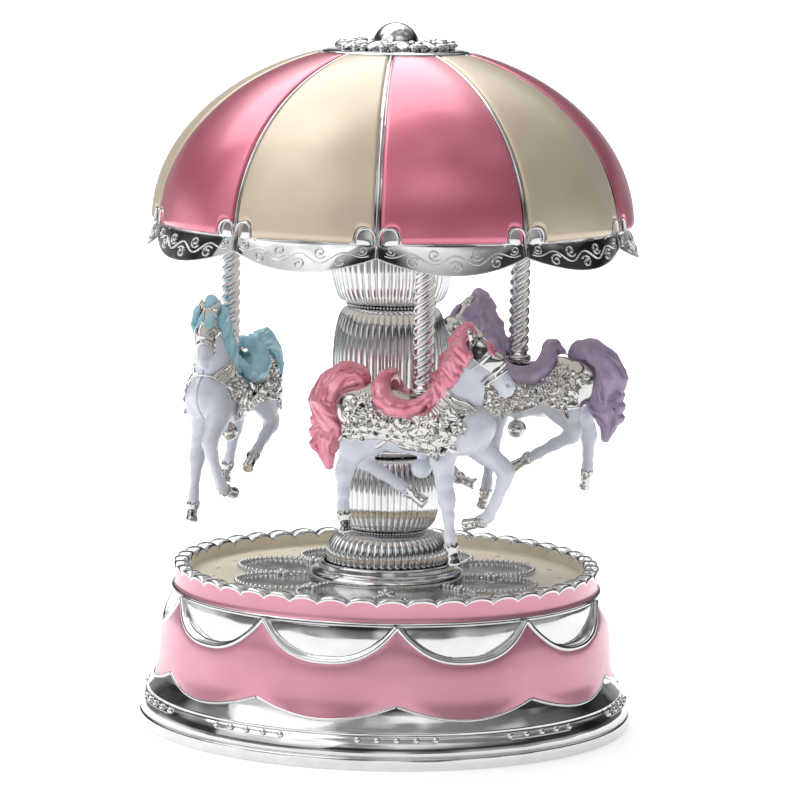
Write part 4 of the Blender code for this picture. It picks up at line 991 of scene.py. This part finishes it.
# Bosses on each cheek: how far down the head, out to the side and up the face, and their size.
BOSSES = ((3.2, 2.0, 1.2, 0.8), (4.6, 2.1, 0.2, 0.7), (6.2, 1.9, 0.6, 0.95), (7.8, 1.6, 0.9, 0.6),
          (2.2, 2.2, -0.6, 0.8), (8.6, 1.5, 0.0, 0.6), (5.6, 2.1, -1.2, 0.7), (3.4, 2.3, -1.6, 0.6),
          (7.2, 1.8, -0.7, 0.55))


def saddle_cloth(clay, body):
    """The cloth over the barrel and up the neck, with the breast straps that cross it."""
    x, y, z = body.everywhere()
    hem = np.interp(x, HEM_X, HEM_Z).astype(np.float32)
    cloth = smooth_max(body.d - 0.32, (hem - z) + 0 * y, 0.3)
    up_neck = (x - 5.1) * 0.42 + (z - 92.3) * 0.91
    cloth = smooth_max(cloth, up_neck + 0 * y, 0.3)
    clay.d = np.minimum(cloth, FAR).astype(np.float32)

    droop = up_neck - 0.02 * (y * y) + 0.25 * np.sin(1.1 * x + 0.8 * y)
    for k, width in enumerate((0.5, 0.36, 0.55, 0.4, 0.6)):
        strap = np.abs(droop + 0.5 + 1.25 * k + 0.2 * k * np.sin(0.6 * x + k)) - width
        strap = smooth_max(body.d - 0.95 + 0.1 * k, strap + 0 * y, 0.4)
        clay.melt_all(np.where((x > 2.5) & (z > hem), strap, FAR))


def bridle(clay, body):
    """The bridle's plate and bands, the bosses on its cheeks, and the ears."""
    x, y, z = body.everywhere()
    head = np.array(HEAD[-1][:3]) - HEAD[0][:3]
    head /= np.linalg.norm(head)
    t = (x - HEAD[0][0]) * head[0] + (y - HEAD[0][1]) * head[1] + (z - HEAD[0][2]) * head[2]
    face = np.array([0.78, 0.15, 0.6])
    face -= head * (face @ head)
    face /= np.linalg.norm(face)
    front = (x - HEAD[0][0]) * face[0] + (y - HEAD[0][1]) * face[1] + (z - HEAD[0][2]) * face[2]
    plate = np.maximum(np.maximum(-t - 1.2, t - 10.4), -front - 2.0 + 0.18 * t)
    plate = smooth_max(body.d - 0.34, plate.astype(np.float32), 0.3)
    clay.melt_all(np.where((t > -3) & (z > 88), plate, FAR))
    for at, thick in ((10.2, 0.42), (8.9, 0.3), (4.6, 0.34), (0.0, 0.4)):
        band = smooth_max(body.d - 0.62, (np.abs(t - at) - thick).astype(np.float32), 0.3)
        clay.melt_all(np.where((z > 88) & (front > -3.6) & (x > 10), band, FAR))
    for side in (-1, 1):
        lateral = np.cross(head, face) * side
        for down, out, rise, size in BOSSES:
            centre = np.array(HEAD[0][:3]) + head * down + lateral * out + face * rise
            clay.lump(centre, (size, size * 0.8, size), 0.2)
        clay.chain([(12.4, 1.7 * side + 0.3, 103.6, 0.95), (12.3, 2.2 * side + 0.3, 105.2, 0.85),
                    (12.1, 2.5 * side + 0.3, 106.6, 0.3)], 0.3)


def shod_feet(clay):
    """Plated fetlocks and hooves, fluted round, with flat soles."""
    for foot in FEET:
        a, b, c = (np.array(p) for p in foot)
        clay.chain([(*a, 1.6), (*(a * 0.4 + b * 0.6), 1.2), (*b, 1.3), (*(b * 0.25 + c * 0.75), 1.6)], 0.35)
        down = (c - a) / np.linalg.norm(c - a)
        across = np.cross(down, (0.2, 1.0, 0.1))
        across /= np.linalg.norm(across)
        for k in range(7):
            turn = k * math.tau / 7
            out = across * math.cos(turn) + np.cross(down, across) * math.sin(turn)
            clay.lump(a - down * 0.5 + out * 1.4, [down * 1.2, out * 0.45, np.cross(down, out) * 0.5], 0.15)
            clay.lump(b + out * 1.1, [down * 0.9, out * 0.35, np.cross(down, out) * 0.4], 0.15)
        where, (wx, wy, wz) = clay.window(c - 4.0, c + 4.0)
        beyond = (wx - c[0]) * down[0] + (wy - c[1]) * down[1] + (wz - c[2]) * down[2]
        clay.carve(where, (-beyond + 0 * clay.d[where]).astype(np.float32), 0.3)


def cloth_reliefs(clay, body):
    """Flowers, leaves and, below the saddle, a fringe: all stood on the skin of the body."""
    rng = np.random.default_rng(7)
    for side in (-1, 1):
        for index, (fx, fz, size) in enumerate(FLOWERS):
            found = body.surface(fx, fz, side)
            if found:
                point, normal = found
                flower(clay, point + normal * 0.25, normal, size, index * 1.7 + side)
        for index in range(60):
            fx = rng.uniform(-18.5, 10.5)
            fz = np.interp(fx, HEM_X, HEM_Z) + rng.uniform(-0.2, 9.0)
            found = body.surface(fx, min(fz, 89.0), side)
            if found and abs(found[1][1]) > 0.25:
                point, normal = found
                size = rng.uniform(1.6, 2.8)
                leaf(clay, point + normal * 0.2, normal, size, rng.uniform(0, math.tau))
        for k in range(15):
            a = -0.3 + k * 0.19
            px, pz = -3.9 + 6.4 * math.cos(math.pi + a), 91.6 - 6.4 * math.sin(a) - 0.9
            found = body.surface(px, pz, side)
            if found:
                point, normal = found
                down = np.array([-0.35 * (k - 7) / 7, 0, -1.0])
                axes = [down * 1.6, normal * 0.45, np.cross(down, normal) * 0.34]
                clay.lump(point + normal * 0.3 + down * 0.6, axes, 0.12)


def horse_harness(body):
    """The plated parts: flowered cloth, straps, bridle, ears, fetlocks, hooves and the tail's socket."""
    clay = body.like()
    saddle_cloth(clay, body)
    bridle(clay, body)
    shod_feet(clay)
    cloth_reliefs(clay, body)
    clay.chain([(-15.6, 0, 88.4, 2.0), (-18.4, 0, 88.6, 1.6), (-20.6, 0, 87.4, 1.1)], 0.4)
    return clay


def horse_saddle(body):
    """The padded roll of the saddle: a crescent on each side, joined over the cantle."""
    clay = body.like()
    for side in (-1, 1):
        roll = [(-8.4, 0, 94.0, 1.5), (-9.0, 2.2 * side, 93.6, 1.8), (-9.4, 4.2 * side, 91.2, 2.3),
                (-8.4, 5.2 * side, 88.6, 2.6), (-5.8, 5.7 * side, 86.9, 2.5), (-2.4, 5.8 * side, 86.6, 2.1),
                (0.6, 5.6 * side, 87.6, 1.6), (3.0, 4.9 * side, 89.6, 1.25), (4.4, 3.3 * side, 91.6, 1.3),
                (5.0, 1.4 * side, 93.0, 1.5)]
        clay.chain(roll, 0.5)
        for rx, ry, rz, rr in roll[1:-1]:
            clay.lump((rx, ry + 0.5 * side, rz), (rr * 0.9, rr * 0.75, rr * 0.9), 0.15)
    return clay


def strand(clay, path, thick, sway, waves, phase, plane=(0, 1, 0)):
    """One wavy lock of hair along a path of points, thickest in its middle."""
    path = np.array(path, float)
    t = np.linspace(0, 1, len(path))
    fine = np.linspace(0, 1, 15)
    spine = np.stack([np.interp(fine, t, path[:, k]) for k in range(3)], 1)
    tangent = np.gradient(spine, axis=0)
    side = np.cross(tangent, plane)
    side /= np.linalg.norm(side, axis=1)[:, None] + 1e-9
    spine = spine + side * (sway * np.sin(fine * math.tau * waves + phase))[:, None]
    radius = thick * np.clip(np.sin(np.clip(fine * 0.86 + 0.12, 0, 1) * math.pi) ** 0.6, 0.25, 1)
    clay.chain([(*p, r) for p, r in zip(spine, radius)], 0.1)


def horse_mane(body):
    """Wavy locks from the poll down the crest to the saddle, a plume on the poll and two brow panels."""
    clay = body.like()
    clay.chain([(10.6, 0.1, 104.2, 2.1), (8.6, 0, 100.6, 2.5), (6.6, 0, 96.4, 2.6), (5.0, 0, 92.4, 2.3),
                (4.2, 0, 90.2, 1.6)], 0.6)
    clay.chain([(12.2, 0.2, 105.0, 1.5), (11.2, 0.1, 106.4, 1.5), (9.8, 0, 105.6, 1.7)], 0.5)
    rng = np.random.default_rng(3)
    for side in (-1, 1):
        for k in range(12):
            s = k / 11
            top = np.array([11.4 - 7.0 * s, 0.9 * side, 105.6 - 13.4 * s])
            end = top + np.array([1.3 - 1.6 * s, 3.0 * side, -4.6 - 0.8 * s])
            middle = (top + end) / 2 + np.array([-0.9, 1.6 * side, 0.3])
            thick = 1.05 + 0.2 * rng.random()
            path = [top, middle, end, end + np.array([0.7, 0.1 * side, -1.2])]
            strand(clay, path, thick, 0.55, 1.0, rng.uniform(0, 6))
    for k in range(9):
        s = k / 8
        start = np.array([10.8 - 5.6 * s, 0, 106.2 - 11.8 * s])
        path = [start, start + (-2.4, 0.4, -1.8), start + (-2.2, -0.3, -4.8)]
        strand(clay, path, 1.3, 0.5, 1.1, k * 1.9, plane=(0.3, 1, 0.2))
    head = np.array(HEAD[0][:3])
    for side in (-1, 1):
        axes = np.array([(0.42, 0.1, -0.6), (0.2, 0.75 * side, 0.14), (0.8, 0.2, 0.56)])
        axes *= [[3.4], [1.2], [0.75]]
        clay.lump(head + np.array([4.9, 0.9 + 1.15 * side, -0.9]), axes, 0.2)
    return clay


def horse_tail():
    """A bushy tail that curls over a hole and runs down the haunches, built from twisting locks."""
    clay = Clay((-32.0, -7.0, 65.0), (-12.5, 7.0, 98.5))
    curl = np.array(TAIL)
    clay.chain([(x, y, z, 0.74 * r) for x, y, z, r in curl], 0.6)
    t = np.linspace(0, 1, len(curl))
    fine = np.linspace(0, 1, 46)
    spine = np.stack([np.interp(fine, t, curl[:, k]) for k in range(4)], 1)
    tangent = np.gradient(spine[:, :3], axis=0)
    tangent /= np.linalg.norm(tangent, axis=1)[:, None]
    side = np.cross(tangent, (0, 1, 0))
    for count, depth, thick, wind in ((8, 0.66, 0.42, 2.4), (22, 1.0, 0.13, 3.2)):
        for k in range(count):
            turn = k * math.tau / count + wind * fine + 0.5 * np.sin(fine * 9 + k)
            offset = depth * spine[:, 3] * (1 + 0.14 * np.sin(fine * 14 + 2 * k))
            centre = spine[:, :3] + side * (np.cos(turn) * offset)[:, None]
            centre[:, 1] += np.sin(turn) * offset * 0.95
            clay.chain([(*p, r) for p, r in zip(centre, thick * spine[:, 3] + 0.08)], 0.08)
    for k, (sx, sz) in enumerate(((-26.6, 82.6), (-26.4, 79.6), (-26.2, 76.4))):
        for sway in (-1, 1):
            lock = [(sx + 1.6, 1.2 * sway, sz + 1.8), (sx - 1.4, 1.5 * sway, sz - 0.6),
                    (sx - 0.2, 1.1 * sway, sz - 3.2)]
            strand(clay, lock, 1.0, 0.35, 0.8, k * 1.4)
    clay.lump((-20.2, 0, 86.6), (1.5, 8.0, 1.9), 0.3, carve=True)
    return clay


def horses():
    """Three horses share the same meshes. Each has its own paint on its mane, tail and saddle."""
    body = horse_body()
    meshes = {"body": body.mesh("horse_body"), "harness": horse_harness(body).mesh("horse_harness"),
              "saddle": horse_saddle(body).mesh("horse_saddle"), "mane": horse_mane(body).mesh("horse_mane"),
              "tail": horse_tail().mesh("horse_tail")}
    for mesh in meshes.values():
        mesh.materials.append(None)
    for colour, around, facing in HORSES:
        x, y = directions(around)
        finish = {"body": PEARL, "harness": CHROME_SOFT}
        for part, mesh in meshes.items():
            obj = bpy.data.objects.new(f"{colour}_horse_{part}_moulding", mesh)
            obj.location = (POLE_CIRCLE_R * MM * x, POLE_CIRCLE_R * MM * y, 0)
            obj.rotation_euler = (0, 0, math.radians(facing))
            obj.material_slots[0].link = "OBJECT"
            obj.material_slots[0].material = finish.get(part, MANE[colour])
            nodes = {"body": (f"{colour}_horse_left_half", f"{colour}_horse_right_half"),
                     "tail": (f"{colour}_horse_tail",)}.get(part, ())
            piece(obj, "carousel", nodes)


# ---- CAD nodes that stay, studio and camera ----
def carried_nodes():
    """The CAD nodes that are shown as they are get real finishes."""
    finishes = {
        BRASS: ("spindle_bush", "spring_barrel", "great_wheel", "music_cylinder", "governor_wheel",
                "governor_fly", "canopy_spacer"),
        STEEL: ("base_screw_1", "base_screw_2", "base_screw_3", "base_screw_4", "bedplate_screw_1",
                "bedplate_screw_2", "comb", "comb_screw_1", "comb_screw_2", "bridge_screw", "winding_arbor",
                "winding_key", "spindle"),
        ZINC: ("movement_bedplate", "governor_bridge"),
        SPRING: ("mainspring",),
        BLACK: ("base_plate",),
        CEILING: ("canopy_ceiling",),
    }
    for material, names in finishes.items():
        for name in names:
            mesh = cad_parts[name].data
            mesh.materials.clear()
            mesh.materials.append(material)
            mesh.set_sharp_from_angle(angle=math.radians(35))


def light(name, at, look_at, size, power):
    data = bpy.data.lights.new(name, "AREA")
    data.shape = "RECTANGLE"
    data.size, data.size_y = size
    data.energy = power
    lamp = bpy.data.objects.new(name, data)
    bpy.context.scene.collection.objects.link(lamp)
    lamp.location = at
    lamp.rotation_euler = (Vector(look_at) - Vector(at)).to_track_quat("-Z", "Y").to_euler()


def sheet(name, y, z, material):
    """A sheet of the studio's white paper, 6.4 m wide, along a line of (y, z) points in metres."""
    x = np.linspace(-3.2, 3.2, 9)
    points = np.stack(np.broadcast_arrays(x[None, :], y[:, None], z[:, None]), -1).reshape(-1, 3)
    mesh = bpy.data.meshes.new(name)
    mesh.from_pydata(points.tolist(), [], grid_quads(len(y), len(x)).tolist())
    mesh.materials.append(material)
    mesh.shade_smooth()
    made = bpy.data.objects.new(name, mesh)
    bpy.context.scene.collection.objects.link(made)
    return made


def studio():
    """White paper that sweeps up behind, a world with a dark band above its horizon, and soft lights."""
    paper, tree, shader = shader_nodes("white_paper")
    fibre = noise(tree, 4.0, 2.0)
    tone = ramped(tree, fibre.outputs["Fac"], (0.3, (0.88, 0.88, 0.88)), (0.7, (0.90, 0.90, 0.90)))
    tree.links.new(tone, shader.inputs["Base Color"])
    tree.links.new(tone, shader.inputs["Emission Color"])
    place = tree.nodes.new("ShaderNodeTexCoord")
    apart = tree.nodes.new("ShaderNodeSeparateXYZ")
    tree.links.new(place.outputs["Object"], apart.inputs["Vector"])
    glow = remapped(tree, apart.outputs["Y"], 0.5, 1.1, 0.05, 0.8)
    tree.links.new(glow, shader.inputs["Emission Strength"])
    shader.inputs["Roughness"].default_value = 0.8
    sheet("floor_paper", np.linspace(-0.6, 0.5, 8), np.zeros(8), paper)
    s = np.linspace(0, 1, 40)[1:]
    y = np.concatenate([np.linspace(0.5, 2.2, 9), 2.2 + 0.8 * np.sin(s * math.pi / 2), [3.0]])
    z = np.concatenate([np.zeros(9), 0.8 * (1 - np.cos(s * math.pi / 2)), [2.6]])
    back = sheet("back_paper", y, z, paper)
    back.visible_glossy = False

    world = bpy.data.worlds.new("studio")
    world.use_nodes = True
    bpy.context.scene.world = world
    tree = world.node_tree
    background = tree.nodes["Background"]
    coordinates = tree.nodes.new("ShaderNodeTexCoord")
    split = tree.nodes.new("ShaderNodeSeparateXYZ")
    tree.links.new(coordinates.outputs["Generated"], split.inputs["Vector"])
    up = remapped(tree, split.outputs["Z"], 0.0, 1.0, -1.0, 1.0)
    greys = ((0.0, 0.5), (0.5, 0.7), (0.55, 0.5), (0.6, 0.07), (0.7, 0.06), (0.78, 0.7), (0.86, 0.95),
             (1.0, 0.9))
    tone = ramped(tree, up, *((at, (grey, grey, grey)) for at, grey in greys))
    tree.links.new(tone, background.inputs["Color"])
    patches = noise(tree, 1.7, 2.0)
    tree.links.new(coordinates.outputs["Generated"], patches.inputs["Vector"])
    dimmer = tree.nodes.new("ShaderNodeMath")
    dimmer.operation = "MULTIPLY"
    tree.links.new(remapped(tree, patches.outputs["Fac"], 0.4, 1.5, 0.42, 0.58), dimmer.inputs[0])
    tree.links.new(remapped(tree, split.outputs["X"], 1.0, 0.5, 0.1, 0.8), dimmer.inputs[1])
    tree.links.new(dimmer.outputs["Value"], background.inputs["Strength"])

    middle = (0, 0, 0.1)
    light("top", (-0.25, 0.4, 1.1), middle, (1.3, 1.0), 8.5)
    light("key", (-1.4, -0.9, 1.1), middle, (2.2, 1.6), 8)
    bpy.context.scene.view_settings.view_transform = "Standard"


def camera():
    data = bpy.data.cameras.new("camera")
    data.lens = 181.6
    data.sensor_width = 36
    eye = bpy.data.objects.new("camera", data)
    bpy.context.scene.collection.objects.link(eye)
    eye.location = (0, -1.017, 0.218)
    pitch, yaw, roll = math.radians(90 - CAMERA_PITCH), math.radians(CAMERA_YAW), math.radians(CAMERA_ROLL)
    eye.rotation_euler = (Euler((pitch, 0, yaw)).to_matrix() @ Euler((0, 0, roll)).to_matrix()).to_euler()
    bpy.context.scene.camera = eye
    bpy.context.scene.render.resolution_x = 800
    bpy.context.scene.render.resolution_y = 800


drum_body()
drum_paint()
drum_trim("swag_trim", swag_height, 0.72, 0.1)
drum_trim("scallop_trim", scallop_height, 0.34, 0.2)
foot_beads()
deck_tray()
deck_petals()
deck_relief()
deck_collar()
column()
every_other_panel("canopy_panels_pink", 0, PINK_CANOPY)
every_other_panel("canopy_panels_cream", 1, CREAM_CANOPY)
canopy_frame()
canopy_ribs()
skirt_trim()
crown()
finial()
for colour, around, _ in HORSES:
    pole(colour, around)
horses()
carried_nodes()
studio()
camera()
